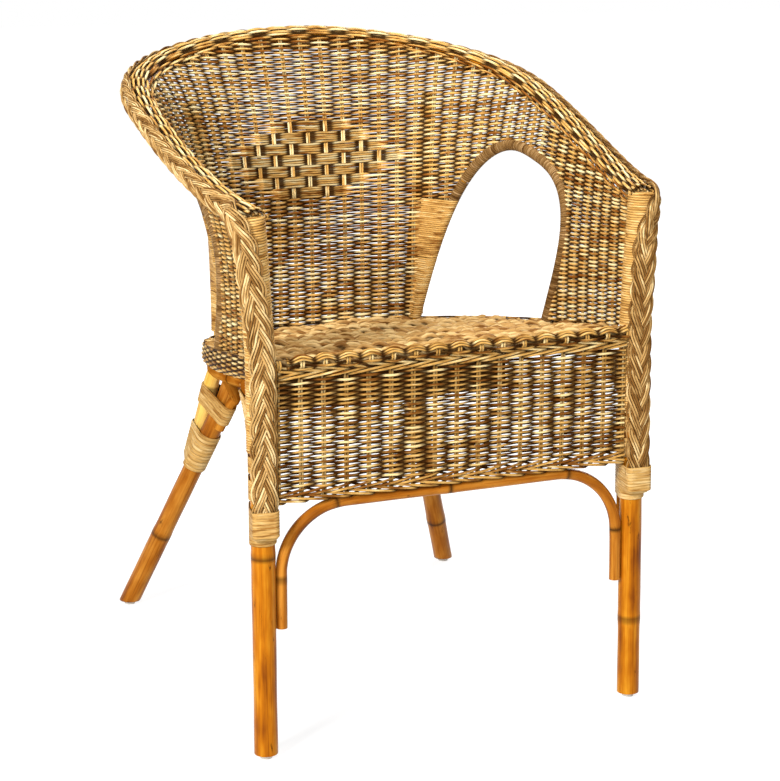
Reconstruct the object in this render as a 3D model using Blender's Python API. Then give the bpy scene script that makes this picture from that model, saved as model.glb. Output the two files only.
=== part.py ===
"""Wicker armchair: a frame of bent rattan poles, lashed with cane, that carries a woven tub, seat and apron.

Metres, +Z up. The sitter faces -Y and the chair stands on Z = 0. Sizes below are laid out with
Y = 0 at the axis of the front legs; at the end the whole chair is moved so that its box is centred.
"""

import math

import bmesh
import bpy
import numpy as np
from mathutils import Matrix, Vector

for old in list(bpy.data.objects):
    bpy.data.objects.remove(old, do_unlink=True)

# Clearances: between pieces that touch, and round the rim pole, which a roll of weave surrounds
GAP = 0.0003
RIM_GAP = 0.0006

# Poles
FRONT_LEG_D = 0.026
REAR_LEG_D = 0.0255
POST_D = 0.0195
BOW_D = 0.013
SEAT_HOOP_D = 0.016
SEAT_BAR_D = 0.012
RIM_HOOP_D = 0.014
ARM_HOOP_D = 0.0085
NODE_SWELL = 1.035

# Seat, from which the rest of the chair is laid out
SEAT_FRONT_Z = 0.441
SEAT_SLOPE = 0.147
SEAT_HALF_W = 0.214
SEAT_DEPTH = 0.437
SEAT_SQUARENESS = 2.7
SEAT_T = 0.008
SEAT_LIP = 0.006
SEAT_NOSE = 0.012
SEAT_NOSE_R = 0.0036
TWINE_PITCH = 0.0064
TWINE_FIRST_Y = -0.002
TWINE_H = 0.003

# How far the legs and the rim stand out beside and behind the seat
LEG_BESIDE_SEAT = 0.0095
REAR_FOOT_BESIDE_SEAT = 0.0145
REAR_FOOT_BEHIND_SEAT = 0.095
RIM_BESIDE_SEAT = 0.035
RIM_BEHIND_SEAT = 0.050
RIM_WIDEST_BEFORE_BACK = 0.207

# How far the rim rises above the seat, and how far the apron and the bindings hang below it
ARM_H = 0.1442
BACK_ABOVE_ARM = 0.1485
APRON_H = 0.156
BOW_BELOW_APRON = 0.140
LEG_BINDING_BELOW_APRON = 0.043
BRAID_BELOW_APRON = 0.023
BOW_BINDINGS_ABOVE_APRON = {"lower": (0.0055, 0.0305), "upper": (0.0335, 0.0545)}
REAR_BINDING_BELOW_SEAT = (0.241, 0.191)
BOW_END_BINDING_BELOW_SEAT = (0.169, 0.143)
POST_TIP_BELOW_SEAT = 0.219

# Lean and bend of the legs, posts and bows
FRONT_LEG_IN = 0.0063
FRONT_LEG_BACK = 0.017
FRONT_LEG_OUT = 0.060
REAR_LEG_IN = 0.349
REAR_LEG_FORWARD = 0.400
REAR_LEG_BEND = 0.068
REAR_LEG_UPRIGHT = 0.021
REAR_LEG_BULGE = 0.0034
REAR_LEG_SHARE = 0.215
POST_SHARE = 0.228
POST_OUT = 0.003
POST_TOP_SHARE = 0.272
POST_TOP = 0.84
POST_TURN = math.radians(70)
BOW_CORNER = 0.074
SIDE_BOW_CORNER = 0.050
SIDE_BOW_DRIFT = 0.8
SIDE_BOW_SHARES = (0.86, 0.355)
SEAT_BAR_X = 0.070

# Shape of the rim
RIM_SQUARENESS = 2.68
RIM_RISE = 0.835

# Woven work
WEAVE_T = 0.006
WEAVE_T_BETWEEN = 0.0028
STAKE_SHARE = 0.04
FLARE = 3.0
ROLL_START = math.radians(145)
ROLL_START_FRONT = math.radians(172)
ROLL_END = math.radians(-15)
WINDING_T = 0.0025
WINDING_FOOT = 0.040
HOOP_WINDING_T = 0.0016
APRON_Y = -0.001
WALE_T = 0.0025
WALE_TOP_H = 0.014
WALE_FOOT_H = 0.022
BRAID_W = 0.026
BRAID_T = 0.009
BRAID_TURN = math.radians(10)
BRAID_ROLL = math.radians(12)

# Arm openings, in the weave's own terms: share of the way round from the middle of the back, and height
HOLE_REAR = 0.245
HOLE_FRONT = 0.657
HOLE_TOP = 0.77
HOLE_SQUARENESS = 2.85
HOLE_SKEW = 0.130
SPLIT = STAKE_SHARE * 9
SPLIT_GAP = 0.0015
POST_SLEEVE_TOP = 0.48

# Cane bindings: the split cane, and the least gap between its turns
CANE_W = 0.006
CANE_T = 0.002
CANE_GAP = 0.0006

# Feet
GLIDE_D = 0.016
GLIDE_H = 0.005
GLIDE_BEVEL = 0.0015

# Worked out from the sizes above
FRONT_LEG_R = FRONT_LEG_D / 2
REAR_LEG_R = REAR_LEG_D / 2
POST_R = POST_D / 2
BOW_R = BOW_D / 2
SEAT_HOOP_R = SEAT_HOOP_D / 2
SEAT_BAR_R = SEAT_BAR_D / 2
RIM_HOOP_R = RIM_HOOP_D / 2
ARM_HOOP_R = ARM_HOOP_D / 2
HOOP_WINDING_R = ARM_HOOP_R + GAP + HOOP_WINDING_T
ROLL_R = RIM_HOOP_R + RIM_GAP + WEAVE_T / 2
FRONT_LEG_X = SEAT_HALF_W + LEG_BESIDE_SEAT
REAR_FOOT_X = SEAT_HALF_W + REAR_FOOT_BESIDE_SEAT
REAR_FOOT_Y = SEAT_DEPTH + REAR_FOOT_BEHIND_SEAT
RIM_HALF_W = SEAT_HALF_W + RIM_BESIDE_SEAT
RIM_BACK_Y = SEAT_DEPTH + RIM_BEHIND_SEAT
RIM_WIDEST_Y = RIM_BACK_Y - RIM_WIDEST_BEFORE_BACK
RIM_FRONT_Z = SEAT_FRONT_Z + ARM_H
RIM_BACK_Z = RIM_FRONT_Z + BACK_ABOVE_ARM
LEG_TOP_Z = RIM_FRONT_Z - RIM_HOOP_R - GAP
APRON_FOOT_Z = SEAT_FRONT_Z - APRON_H
BOW_FOOT_Z = APRON_FOOT_Z - BOW_BELOW_APRON
LEG_BINDING_FOOT_Z = APRON_FOOT_Z - LEG_BINDING_BELOW_APRON
BRAID_FOOT_Z = APRON_FOOT_Z - BRAID_BELOW_APRON
BRAID_TOP_Z = LEG_TOP_Z + RIM_GAP * 4
REAR_BINDING_Z = [SEAT_FRONT_Z - below for below in REAR_BINDING_BELOW_SEAT]
BOW_END_BINDING_Z = [SEAT_FRONT_Z - below for below in BOW_END_BINDING_BELOW_SEAT]
POST_TIP_Z = SEAT_FRONT_Z - POST_TIP_BELOW_SEAT
APRON_REAR_Y = APRON_Y + WEAVE_T / 2
RAIL_Y = APRON_REAR_Y + GAP + SEAT_HOOP_R
SIDES = {"left": -1, "right": 1}
FORWARD = Vector((0, -1, 0))

chair = bpy.data.objects.new("armchair", None)
bpy.context.scene.collection.objects.link(chair)


def material(name, colour, roughness):
    """A plain Principled material."""
    made = bpy.data.materials.new(name)
    made.use_nodes = True
    shader = made.node_tree.nodes["Principled BSDF"]
    shader.inputs["Base Color"].default_value = (*colour, 1)
    shader.inputs["Roughness"].default_value = roughness
    return made


POLE = material("honey_rattan_pole", (0.36, 0.13, 0.035), 0.35)
PALE_POLE = material("yellow_rattan_pole", (0.62, 0.40, 0.13), 0.4)
WEAVE = material("woven_reed", (0.45, 0.25, 0.09), 0.6)
BRAID = material("plaited_reed", (0.50, 0.31, 0.13), 0.6)
CANE = material("cane_winding", (0.52, 0.33, 0.13), 0.5)
PLASTIC = material("glide_plastic", (0.75, 0.72, 0.66), 0.5)


def add(name, bm, look, helper=False):
    """A named object from a bmesh, closed up and facing outwards."""
    bmesh.ops.remove_doubles(bm, verts=bm.verts, dist=1e-6)
    bmesh.ops.recalc_face_normals(bm, faces=bm.faces)
    mesh = bpy.data.meshes.new(name)
    bm.to_mesh(mesh)
    bm.free()
    made = bpy.data.objects.new(name, mesh)
    bpy.context.scene.collection.objects.link(made)
    made.parent = chair
    if helper:
        made.hide_render = True
        made.display_type = "WIRE"
    else:
        mesh.materials.append(look)
    return made


def cut(piece, *cutters):
    """Takes each cutter out of the piece."""
    boolean(piece, "DIFFERENCE", cutters)


def join(piece, *others):
    """Adds each helper to the piece."""
    boolean(piece, "UNION", others)


def boolean(piece, operation, others):
    for other in others:
        step = piece.modifiers.new(other.name, "BOOLEAN")
        step.operation = operation
        step.solver = "EXACT"
        step.object = other


def tube(path, radii, sides):
    """A bmesh of a round bar along a path, made as a bevelled curve with filled ends."""
    curve = bpy.data.curves.new("bar", "CURVE")
    curve.dimensions = "3D"
    curve.bevel_depth = 1.0
    curve.bevel_resolution = (sides - 4) // 2
    curve.use_fill_caps = True
    spline = curve.splines.new("POLY")
    spline.points.add(len(path) - 1)
    for point, place, radius in zip(spline.points, path, radii):
        point.co = (*place, 1)
        point.radius = radius
    holder = bpy.data.objects.new("bar", curve)
    bm = bmesh.new()
    mesh = bpy.data.meshes.new_from_object(holder)
    bm.from_mesh(mesh)
    bpy.data.objects.remove(holder)
    bpy.data.curves.remove(curve)
    bpy.data.meshes.remove(mesh)
    return bm


def pole(name, path, radius, look=POLE, sides=14, nodes=()):
    """A rattan pole; nodes are the stations of the path where the cane swells at a joint of its growth."""
    radii = [radius * NODE_SWELL if i in nodes else radius for i in range(len(path))]
    return add(name, tube(path, radii, sides), look)


def room_for(name, path, radius, sides=16):
    """A helper that makes room for a pole: the same path, with the clearance round it."""
    clear = (radius + GAP) / math.cos(math.pi / sides)
    return add(name, tube(path, [clear] * len(path), sides), None, helper=True)


def mirrored(path):
    return [Vector((-point.x, point.y, point.z)) for point in path]


def spread(start, end, count):
    return [start.lerp(end, i / (count - 1)) for i in range(count)]


def through(points, per_span):
    """A smooth line through the points."""
    padded = [points[0] * 2 - points[1], *points, points[-1] * 2 - points[-2]]
    line = []
    for a, b, c, d in zip(padded, padded[1:], padded[2:], padded[3:]):
        for i in range(per_span):
            t = i / per_span
            bend = (a * 2 - b * 5 + c * 4 - d) * t**2 + (b * 3 - a - c * 3 + d) * t**3
            line.append((b * 2 + (c - a) * t + bend) / 2)
    return [*line, points[-1]]


def plan(half_width, front_half_width, widest_y, back_y, squareness):
    """Half of a plan, from the middle of the back to the front, by the share of its length."""
    turn = np.linspace(0, math.pi / 2, 400)
    xs = half_width * np.sin(turn) ** (2 / squareness)
    ys = widest_y + (back_y - widest_y) * np.maximum(np.cos(turn), 0) ** (2 / squareness)
    if widest_y > 0:
        arm_y = np.linspace(widest_y, 0, 100)[1:]
        narrowing = (half_width - front_half_width) * (1 - arm_y / widest_y) ** 2
        xs = np.append(xs, half_width - narrowing)
        ys = np.append(ys, arm_y)
    run = np.append(0, np.cumsum(np.hypot(np.diff(xs), np.diff(ys))))
    run /= run[-1]

    def at(share):
        x = math.copysign(np.interp(abs(share), run, xs), share)
        return Vector((x, np.interp(abs(share), run, ys), 0))

    return at


seat_plan = plan(SEAT_HALF_W, SEAT_HALF_W, 0, SEAT_DEPTH, SEAT_SQUARENESS)
rim_plan = plan(RIM_HALF_W, FRONT_LEG_X, RIM_WIDEST_Y, RIM_BACK_Y, RIM_SQUARENESS)


def outward(at, share):
    """The level direction out of a plan."""
    along = at(min(share + 0.01, 1)) - at(max(share - 0.01, -1))
    return Vector((-along.y, along.x, 0)).normalized()


def seat_top(y):
    return SEAT_FRONT_Z - SEAT_SLOPE * y


def seat_edge(share, out, below):
    """A point beside the seat's edge line: so far out of it, and so far below the top of the seat."""
    place = seat_plan(share) + outward(seat_plan, share) * out
    place.z = seat_top(place.y) - below
    return place


def rim_centre(share):
    rise = (1 - abs(share)) ** RIM_RISE
    place = rim_plan(share)
    place.z = RIM_FRONT_Z + (RIM_BACK_Z - RIM_FRONT_Z) * rise * rise * (3 - 2 * rise)
    return place


def rim_frame(share):
    """Three directions at the rim pole: along it, level and out of it, and up."""
    along = (rim_centre(min(share + 0.01, 1)) - rim_centre(max(share - 0.01, -1))).normalized()
    out = Vector((-along.y, along.x, 0)).normalized()
    return along, out, along.cross(out)


def rim_point(share, angle, radius):
    """A point beside the rim pole: an angle of zero is straight out, a right angle is straight up."""
    along, out, up = rim_frame(share)
    return rim_centre(share) + (out * math.cos(angle) + up * math.sin(angle)) * radius


def roll_start(share):
    """Where the wall meets the roll: it turns under the pole at the front, where the wall stands upright."""
    return ROLL_START + (ROLL_START_FRONT - ROLL_START) * abs(share) ** 6


def wall(share, height):
    """A point of the weave's middle surface, from the seat at zero to the roll of the rim at one."""
    foot = seat_edge(share, 0, -GAP)
    top = rim_point(share, roll_start(share), ROLL_R)
    place = foot.lerp(top, height**FLARE)
    place.z = foot.z + (top.z - foot.z) * height
    return place


def wall_out(share, height):
    """The direction out of the weave's surface."""
    step = 0.01
    across = wall(share + step, height) - wall(share - step, height)
    up = wall(share, min(height + step, 1)) - wall(share, max(height - step, 0))
    return up.cross(across).normalized()


def off_wall(share, height, out):
    return wall(share, height) + wall_out(share, height) * out


# Front legs: thick poles from the floor to the arms, leaning slightly back, and out above the seat
def front_leg_at(side, z):
    x = FRONT_LEG_X - FRONT_LEG_IN * z + FRONT_LEG_OUT * max(z - SEAT_FRONT_Z, 0)
    return Vector((side * x, FRONT_LEG_BACK * z, z))


def front_leg_path(side, foot, top):
    knee = front_leg_at(side, SEAT_FRONT_Z)
    return [*spread(front_leg_at(side, foot), knee, 6), *spread(knee, front_leg_at(side, top), 3)[1:]]


leg_rooms = {}
for name, side in SIDES.items():
    pole(f"front_leg_{name}", front_leg_path(side, GLIDE_H + GAP, LEG_TOP_Z), FRONT_LEG_R, nodes=(2,))
    path = front_leg_path(side, 0, LEG_TOP_Z + GAP)
    leg_rooms[name] = room_for(f"room_front_leg_{name}", path, FRONT_LEG_R)


# Seat frame: a horseshoe pole, a front rail and two bars, all just under the seat weave
HOOP_BELOW = SEAT_T + GAP + SEAT_HOOP_R
HOOP_IN = SEAT_LIP - SEAT_HOOP_R
hoop_end = max(share for share in np.linspace(0.8, 1, 400) if seat_edge(share, HOOP_IN, 0).y > RAIL_Y)
seat_hoop_path = [seat_edge(share, HOOP_IN, HOOP_BELOW) for share in np.linspace(-hoop_end, hoop_end, 29)]
rail_z = seat_top(RAIL_Y) - HOOP_BELOW
rail_reach = front_leg_at(1, rail_z).x
rail_path = [Vector((x, RAIL_Y, rail_z)) for x in (-rail_reach, 0, rail_reach)]
rail_room = room_for("room_rail", rail_path, SEAT_HOOP_R)
hoop_room = room_for("room_seat_hoop", seat_hoop_path, SEAT_HOOP_R)
rail = pole("seat_front_rail", rail_path, SEAT_HOOP_R, sides=12)
cut(rail, *leg_rooms.values())
seat_hoop = pole("seat_hoop", seat_hoop_path, SEAT_HOOP_R, sides=10)
cut(seat_hoop, rail_room, *leg_rooms.values())
for name, side in SIDES.items():
    bar_below = SEAT_T + GAP + SEAT_BAR_R
    share = min(np.linspace(0, 0.3, 200), key=lambda s: abs(seat_edge(s, HOOP_IN, 0).x - SEAT_BAR_X))
    ends = [Vector((SEAT_BAR_X, RAIL_Y, 0)), seat_edge(share, HOOP_IN, 0)]
    for end in ends:
        end.x = side * SEAT_BAR_X
        end.z = seat_top(end.y) - bar_below
    bar = pole(f"seat_bar_{name}", ends, SEAT_BAR_R, sides=10)
    cut(bar, rail_room, hoop_room)


# Rear legs: straight from splayed feet, then bent upright to saddle the seat hoop
def rear_leg_at(side, z):
    return Vector((side * (REAR_FOOT_X - REAR_LEG_IN * z), REAR_FOOT_Y - REAR_LEG_FORWARD * z, z))


def rear_leg_along(side):
    return Vector((-side * REAR_LEG_IN, -REAR_LEG_FORWARD, 1)).normalized()


def rear_leg_path(side):
    head = seat_edge(side * REAR_LEG_SHARE, HOOP_IN, HOOP_BELOW)
    bend = rear_leg_at(side, head.z - REAR_LEG_BEND)
    upright = head - Vector((0, 0, REAR_LEG_UPRIGHT))
    turn = bend.lerp(upright, 0.5) + rear_leg_along(side) * REAR_LEG_BULGE
    straight = spread(rear_leg_at(side, -REAR_LEG_D), bend - rear_leg_along(side) * REAR_LEG_D, 5)
    return through([*straight, bend, turn, upright, head], 2)


rear_rooms = {}
for name, side in SIDES.items():
    path = rear_leg_path(side)
    bm = tube(path, [REAR_LEG_R * NODE_SWELL if i == 3 else REAR_LEG_R for i in range(len(path))], 14)
    bmesh.ops.remove_doubles(bm, verts=bm.verts, dist=1e-6)
    floor = Vector((0, 0, GLIDE_H + GAP))
    sawn = bmesh.ops.bisect_plane(
        bm, geom=[*bm.verts, *bm.edges, *bm.faces], plane_co=floor, plane_no=(0, 0, -1), clear_outer=True
    )
    edges = [part for part in sawn["geom_cut"] if isinstance(part, bmesh.types.BMEdge)]
    bmesh.ops.contextual_create(bm, geom=edges)
    leg = add(f"rear_leg_{name}", bm, POLE)
    cut(leg, hoop_room)
    rear_rooms[name] = room_for(f"room_rear_leg_{name}", path, REAR_LEG_R)


# Back posts: thin pale poles, lashed to the rear legs, that climb the outside of the back
def beside_leg(side, direction, radius):
    """From the axis of a rear leg to the axis of a pole that lies against it, on the side of a direction."""
    along = rear_leg_along(side)
    return (direction - along * direction.dot(along)).normalized() * (REAR_LEG_R + radius + GAP * 2)


def post_foot(side):
    """Two points of the straight foot of a post: where it is lashed to the rear leg, and beside the seat."""
    behind = Vector((side * math.cos(POST_TURN), math.sin(POST_TURN), 0))
    touch = rear_leg_at(side, REAR_BINDING_Z[1]) + beside_leg(side, behind, POST_R)
    return touch, seat_edge(side * POST_SHARE, SEAT_LIP + GAP + POST_R + POST_OUT, HOOP_BELOW)


def post_path(side):
    touch, at_seat = post_foot(side)
    end = touch.lerp(at_seat, (POST_TIP_Z - touch.z) / (at_seat.z - touch.z))
    rise = []
    for height in np.linspace(0.3, POST_TOP, 5):
        share = side * (POST_SHARE + (POST_TOP_SHARE - POST_SHARE) * height)
        rise.append(off_wall(share, height, WEAVE_T / 2 + GAP * 2 + POST_R))
    return through([*spread(end, at_seat, 4), *rise], 2)


post_rooms = {}
for name, side in SIDES.items():
    path = post_path(side)
    post = pole(f"back_post_{name}", path, POST_R, PALE_POLE, sides=12)
    post_rooms[name] = room_for(f"room_back_post_{name}", path, POST_R, sides=14)
    cut(post, rear_rooms[name])
cut(seat_hoop, *post_rooms.values())


# Bows: bent canes that brace the legs, one across the front and one along each side
def front_bow_path():
    top = APRON_FOOT_Z - GAP - BOW_R
    half = [(0, BOW_FOOT_Z)]
    for turn in np.linspace(0, math.pi / 2, 9):
        half.append((BOW_CORNER * (1 - math.cos(turn)), top - BOW_CORNER * (1 - math.sin(turn))))
    path = []
    for inward, z in half:
        beside = front_leg_at(1, z)
        beside.x -= FRONT_LEG_R + GAP + BOW_R + inward
        path.append(beside)
    return [*mirrored(path), *reversed(path)]


def side_bow_path(side):
    below = HOOP_BELOW + SEAT_HOOP_R + GAP + BOW_R
    behind = Vector((0, FRONT_LEG_R + GAP * 2 + BOW_R, 0))
    knee = front_leg_at(side, seat_top(0) - below) + behind
    top = seat_top(knee.y + SIDE_BOW_CORNER) - below
    path = [front_leg_at(side, z) + behind for z in (BOW_FOOT_Z, (BOW_FOOT_Z + top) / 2)]
    run = [seat_edge(side * share, HOOP_IN, below) for share in np.linspace(*SIDE_BOW_SHARES, 8)]
    for turn in np.linspace(0, math.pi / 2, 7):
        across = (1 - math.cos(turn)) ** 2
        place = front_leg_at(side, top - SIDE_BOW_CORNER * (1 - math.sin(turn))) + behind
        place.x += (run[0].x - place.x) * across * SIDE_BOW_DRIFT
        place.y += SIDE_BOW_CORNER * (1 - math.cos(turn))
        path.append(place)
    low, high = BOW_END_BINDING_Z
    beside = beside_leg(side, FORWARD, BOW_R)
    down = [rear_leg_at(side, z) + beside for z in (high + BOW_D, high, low, low - BOW_R)]
    return [*path, *through([*run, *down], 2)]


front_bow = pole("front_bow", front_bow_path(), BOW_R, sides=10, nodes=(6, 14))
cut(front_bow, *leg_rooms.values())
for name, side in SIDES.items():
    path = side_bow_path(side)
    bow = pole(f"side_bow_{name}", path, BOW_R, sides=8)
    cut(bow, hoop_room, rear_rooms[name], leg_rooms[name])


# Cane bindings: split cane wound round poles that lie side by side, one flat strip from end to end
LOOP_POINTS = 24
MOST_LOOPS = 24


def flat_bar(stations, section):
    """A bmesh of a bar of one section through stations: a centre, a direction across and a direction out."""
    bm = bmesh.new()
    rings = []
    for centre, across, out in stations:
        rings.append([bm.verts.new(centre + across * x + out * y) for x, y in section])
    for first, second in zip(rings, rings[1:]):
        for i in range(len(section)):
            bm.faces.new((first[i - 1], first[i], second[i], second[i - 1]))
    for ring in (rings[0], rings[-1]):
        bm.faces.new(ring)
    return bm


def turn_gap(places):
    """The least gap from a wound strip to itself, over points at least half a turn apart."""
    places = np.array(places)
    half = LOOP_POINTS // 2
    apart = [np.linalg.norm(places[i + half :] - places[i], axis=1).min() for i in range(len(places) - half)]
    return min(apart) - CANE_W


def binding(name, ends, bundle):
    """Cane wound round a bundle of poles, between two points of the first pole's axis.

    Each pole of the bundle has its offsets from that axis at the two ends, a radius, and the share of the
    way up from which it is held. Below that its end tapers off, and the cane closes in on the other poles.
    """
    run = ends[1] - ends[0]
    along = run.normalized()
    level = (FORWARD - along * FORWARD.dot(along)).normalized()
    third = along.cross(level)
    turns = min(MOST_LOOPS, int((run.length - CANE_W) / (CANE_W + CANE_GAP)))
    stations = []
    for i in range(turns * LOOP_POINTS + 1):
        up = i / (turns * LOOP_POINTS)
        turn = 2 * math.pi * i / LOOP_POINTS
        out = level * math.cos(turn) + third * math.sin(turn)
        poles = []
        for offsets, radius, held in bundle:
            poles.append((offsets[0].lerp(offsets[1], up) * (min(up / held, 1) if held else 1), radius))
        offset, radius = max(poles, key=lambda pole: pole[0].dot(out) + pole[1])
        reach = (radius + GAP * 2 + CANE_T / 2) / math.cos(math.pi / LOOP_POINTS)
        climb = along * (CANE_W / 2 + (run.length - CANE_W) * up)
        stations.append((ends[0] + climb + offset + out * reach, along, out))
    w, t = CANE_W / 2, CANE_T / 2
    corners = [(-w, -t), (w, -t), (w, t), (-w, t)]
    gap = turn_gap([centre for centre, _, _ in stations])
    print(f"{name}: {turns} turns, least gap to itself {1000 * gap:.2f} mm")
    return add(name, flat_bar(stations, corners), CANE)


def held_from(tip_z, low, high):
    """The share of a binding's height at which it has closed round the tip of a pole."""
    return (tip_z - CANE_W - low) / (high - low)


def braid_facing(side):
    return Vector((side * math.sin(BRAID_TURN), -math.cos(BRAID_TURN), 0))


braid_off = FRONT_LEG_R + GAP + WINDING_T + GAP + BRAID_T / 2
for name, side in SIDES.items():
    behind = Vector((0, FRONT_LEG_R + GAP * 2 + BOW_R, 0))
    leg_and_bow = [((Vector(), Vector()), FRONT_LEG_R, 0), ((behind, behind), BOW_R, 0)]
    for which, heights in BOW_BINDINGS_ABOVE_APRON.items():
        ends = [front_leg_at(side, APRON_FOOT_Z + height) for height in heights]
        binding(f"bow_binding_{which}_{name}", ends, leg_and_bow)

    # The wide binding also holds the foot of the braid, here as its two rounded edges
    low, high = LEG_BINDING_FOOT_Z, APRON_FOOT_Z - CANE_GAP
    facing = braid_facing(side)
    across = Vector((0, 0, 1)).cross(facing) * (BRAID_W - BRAID_T) / 2
    held = held_from(BRAID_FOOT_Z, low, high)
    edges = [((facing * braid_off + way,) * 2, BRAID_T / 2, held) for way in (across, -across)]
    binding(f"leg_binding_{name}", [front_leg_at(side, z) for z in (low, high)], [*leg_and_bow, *edges])

    # On a rear leg, one binding holds the foot of the post, and one the end of the side bow and the post
    touch, at_seat = post_foot(side)
    climb = (at_seat - touch) / (at_seat - touch).dot(rear_leg_along(side))
    lean = math.acos(1 / climb.length)
    post_r = POST_R / math.cos(lean) + CANE_W / 2 * math.tan(lean)
    for which, heights in (("rear_leg_binding", REAR_BINDING_Z), ("bow_end_binding", BOW_END_BINDING_Z)):
        ends = [rear_leg_at(side, z) for z in heights]
        leg = ((Vector(), Vector()), REAR_LEG_R, 0)
        post = [touch + climb * (end - touch).dot(rear_leg_along(side)) - end for end in ends]
        bow = ((beside_leg(side, FORWARD, BOW_R),) * 2, BOW_R, 0)
        if which == "rear_leg_binding":
            bundle = [leg, (post, post_r, held_from(POST_TIP_Z - POST_R, *heights))]
        else:
            bundle = [leg, bow, (post, post_r, 0)]
        binding(f"{which}_{name}", ends, bundle)


# Seat weave: a tilted mat over the seat frame, rounded over the front rail
bm = bmesh.new()
outline = [seat_edge(share, SEAT_LIP, 0) for share in np.linspace(-1, 1, 49)]
for corner in (outline[0], outline[-1]):
    corner.y = -SEAT_NOSE
face = bm.faces.new([bm.verts.new((p.x, p.y, seat_top(p.y))) for p in outline])
lifted = bmesh.ops.extrude_face_region(bm, geom=[face])
for vert in (part for part in lifted["geom"] if isinstance(part, bmesh.types.BMVert)):
    vert.co.z -= SEAT_T
front_edges = [e for e in bm.edges if all(abs(v.co.y + SEAT_NOSE) < 1e-6 for v in e.verts)]
nose = [e for e in front_edges if abs(e.verts[0].co.x - e.verts[1].co.x) > SEAT_HALF_W]
bmesh.ops.bevel(bm, geom=nose, offset=SEAT_NOSE_R, segments=3, profile=0.5, affect="EDGES", material=-1)
seat = add("seat_weave", bm, WEAVE)

# The rows of twine, as ridges across the seat: all that lies above them is a helper
twine = []
peak = TWINE_FIRST_Y
while peak < SEAT_DEPTH + SEAT_LIP:
    twine.append((peak, GAP))
    twine.append((peak + TWINE_PITCH / 2, TWINE_H))
    peak += TWINE_PITCH
bm = bmesh.new()
far = SEAT_HALF_W + FRONT_LEG_D
above = [(twine[-1][0], -SEAT_T), (twine[0][0], -SEAT_T)]
face = bm.faces.new([bm.verts.new((-far, y, seat_top(y) - below)) for y, below in [*twine, *above]])
pushed = bmesh.ops.extrude_face_region(bm, geom=[face])
for vert in (part for part in pushed["geom"] if isinstance(part, bmesh.types.BMVert)):
    vert.co.x = far
cut(seat, add("room_over_twine", bm, None, helper=True))
cut(seat, *leg_rooms.values(), *post_rooms.values())
bm = bmesh.new()
reach = [seat_edge(share, SEAT_LIP + FRONT_LEG_D * 2, -GAP) for share in np.linspace(-1, 1, 49)]
for corner in (reach[0], reach[-1]):
    corner.y = -FRONT_LEG_D * 2
    corner.z = seat_top(corner.y) + GAP
face = bm.faces.new([bm.verts.new(p) for p in reach])
lowered = bmesh.ops.extrude_face_region(bm, geom=[face])
for vert in (part for part in lowered["geom"] if isinstance(part, bmesh.types.BMVert)):
    vert.co.z -= SEAT_T + WINDING_FOOT * 2
seat_room = add("room_seat", bm, None, helper=True)


# Apron: a panel below the seat's front edge, thicker at the waled borders along its top and foot
def apron_section():
    top = seat_top(0) - SEAT_T - GAP * 4
    front = APRON_Y - WEAVE_T / 2
    bulge = front - WALE_T
    return [
        (APRON_REAR_Y, APRON_FOOT_Z),
        (bulge, APRON_FOOT_Z),
        (bulge, APRON_FOOT_Z + WALE_FOOT_H),
        (front, APRON_FOOT_Z + WALE_FOOT_H + WALE_T),
        (front, top - WALE_TOP_H - WALE_T),
        (bulge, top - WALE_TOP_H),
        (bulge, top),
        (APRON_REAR_Y, top),
    ]


bm = bmesh.new()
apron_reach = front_leg_at(1, APRON_FOOT_Z).x
face = bm.faces.new([bm.verts.new((-apron_reach, y, z)) for y, z in apron_section()])
pulled = bmesh.ops.extrude_face_region(bm, geom=[face])
for vert in (part for part in pulled["geom"] if isinstance(part, bmesh.types.BMVert)):
    vert.co.x = apron_reach
apron = add("apron_weave", bm, WEAVE)
for name, side in SIDES.items():
    wide = FRONT_LEG_R + GAP + WINDING_T
    cut(apron, room_for(f"room_apron_end_{name}", front_leg_path(side, 0, LEG_TOP_Z), wide))


# Rim pole: rests on the front legs and runs round the arms and back inside the roll of the weave
splits = [SPLIT, SPLIT + SPLIT_GAP]
RIM_SHARES = [*np.arange(0, SPLIT - STAKE_SHARE / 2, STAKE_SHARE), SPLIT, *np.linspace(splits[1], 1, 12)]
RIM_SHARES = sorted({*RIM_SHARES, *(-share for share in RIM_SHARES)})
rim_path = [rim_centre(share) for share in RIM_SHARES]
beyond = FRONT_LEG_R - front_leg_at(1, LEG_TOP_Z).y
first = rim_path[0] - rim_frame(-1)[0] * beyond
last = rim_path[-1] + rim_frame(1)[0] * beyond
pole("rim_hoop", [first, *rim_path, last], RIM_HOOP_R, sides=10)


# Arm hoops: canes bent round the arm openings, standing on the seat, wound closely with split cane
def hoop_path(side, count=17):
    middle = (HOLE_REAR + HOLE_FRONT) / 2
    reach = (HOLE_FRONT - HOLE_REAR) / 2
    path = []
    for turn in np.linspace(0, math.pi, count):
        across = math.copysign(abs(math.cos(turn)) ** (2 / HOLE_SQUARENESS), math.cos(turn))
        rise = max(math.sin(turn), 0) ** (2 / HOLE_SQUARENESS)
        path.append(wall(side * (middle + reach * across + HOLE_SKEW * rise), HOLE_TOP * rise))
    feet = [path[end] - Vector((0, 0, SEAT_T)) for end in (0, -1)]
    return [feet[0], *path, feet[1]]


def winding(name, path):
    """A sleeve of wound cane along the middle of a hoop."""
    inside = path[3:-3]
    sleeve = add(name, tube(inside, [HOOP_WINDING_R] * len(inside), 10), CANE)
    cut(sleeve, room_for(f"room_{name}", path, ARM_HOOP_R, sides=10))


hoop_rooms = {}
for name, side in SIDES.items():
    path = hoop_path(side)
    cut(pole(f"arm_hoop_{name}", path, ARM_HOOP_R, sides=8), seat_room)
    winding(f"arm_hoop_winding_{name}", path)
    hoop_rooms[name] = room_for(f"room_arm_hoop_{name}", path, HOOP_WINDING_R, sides=12)


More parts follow.
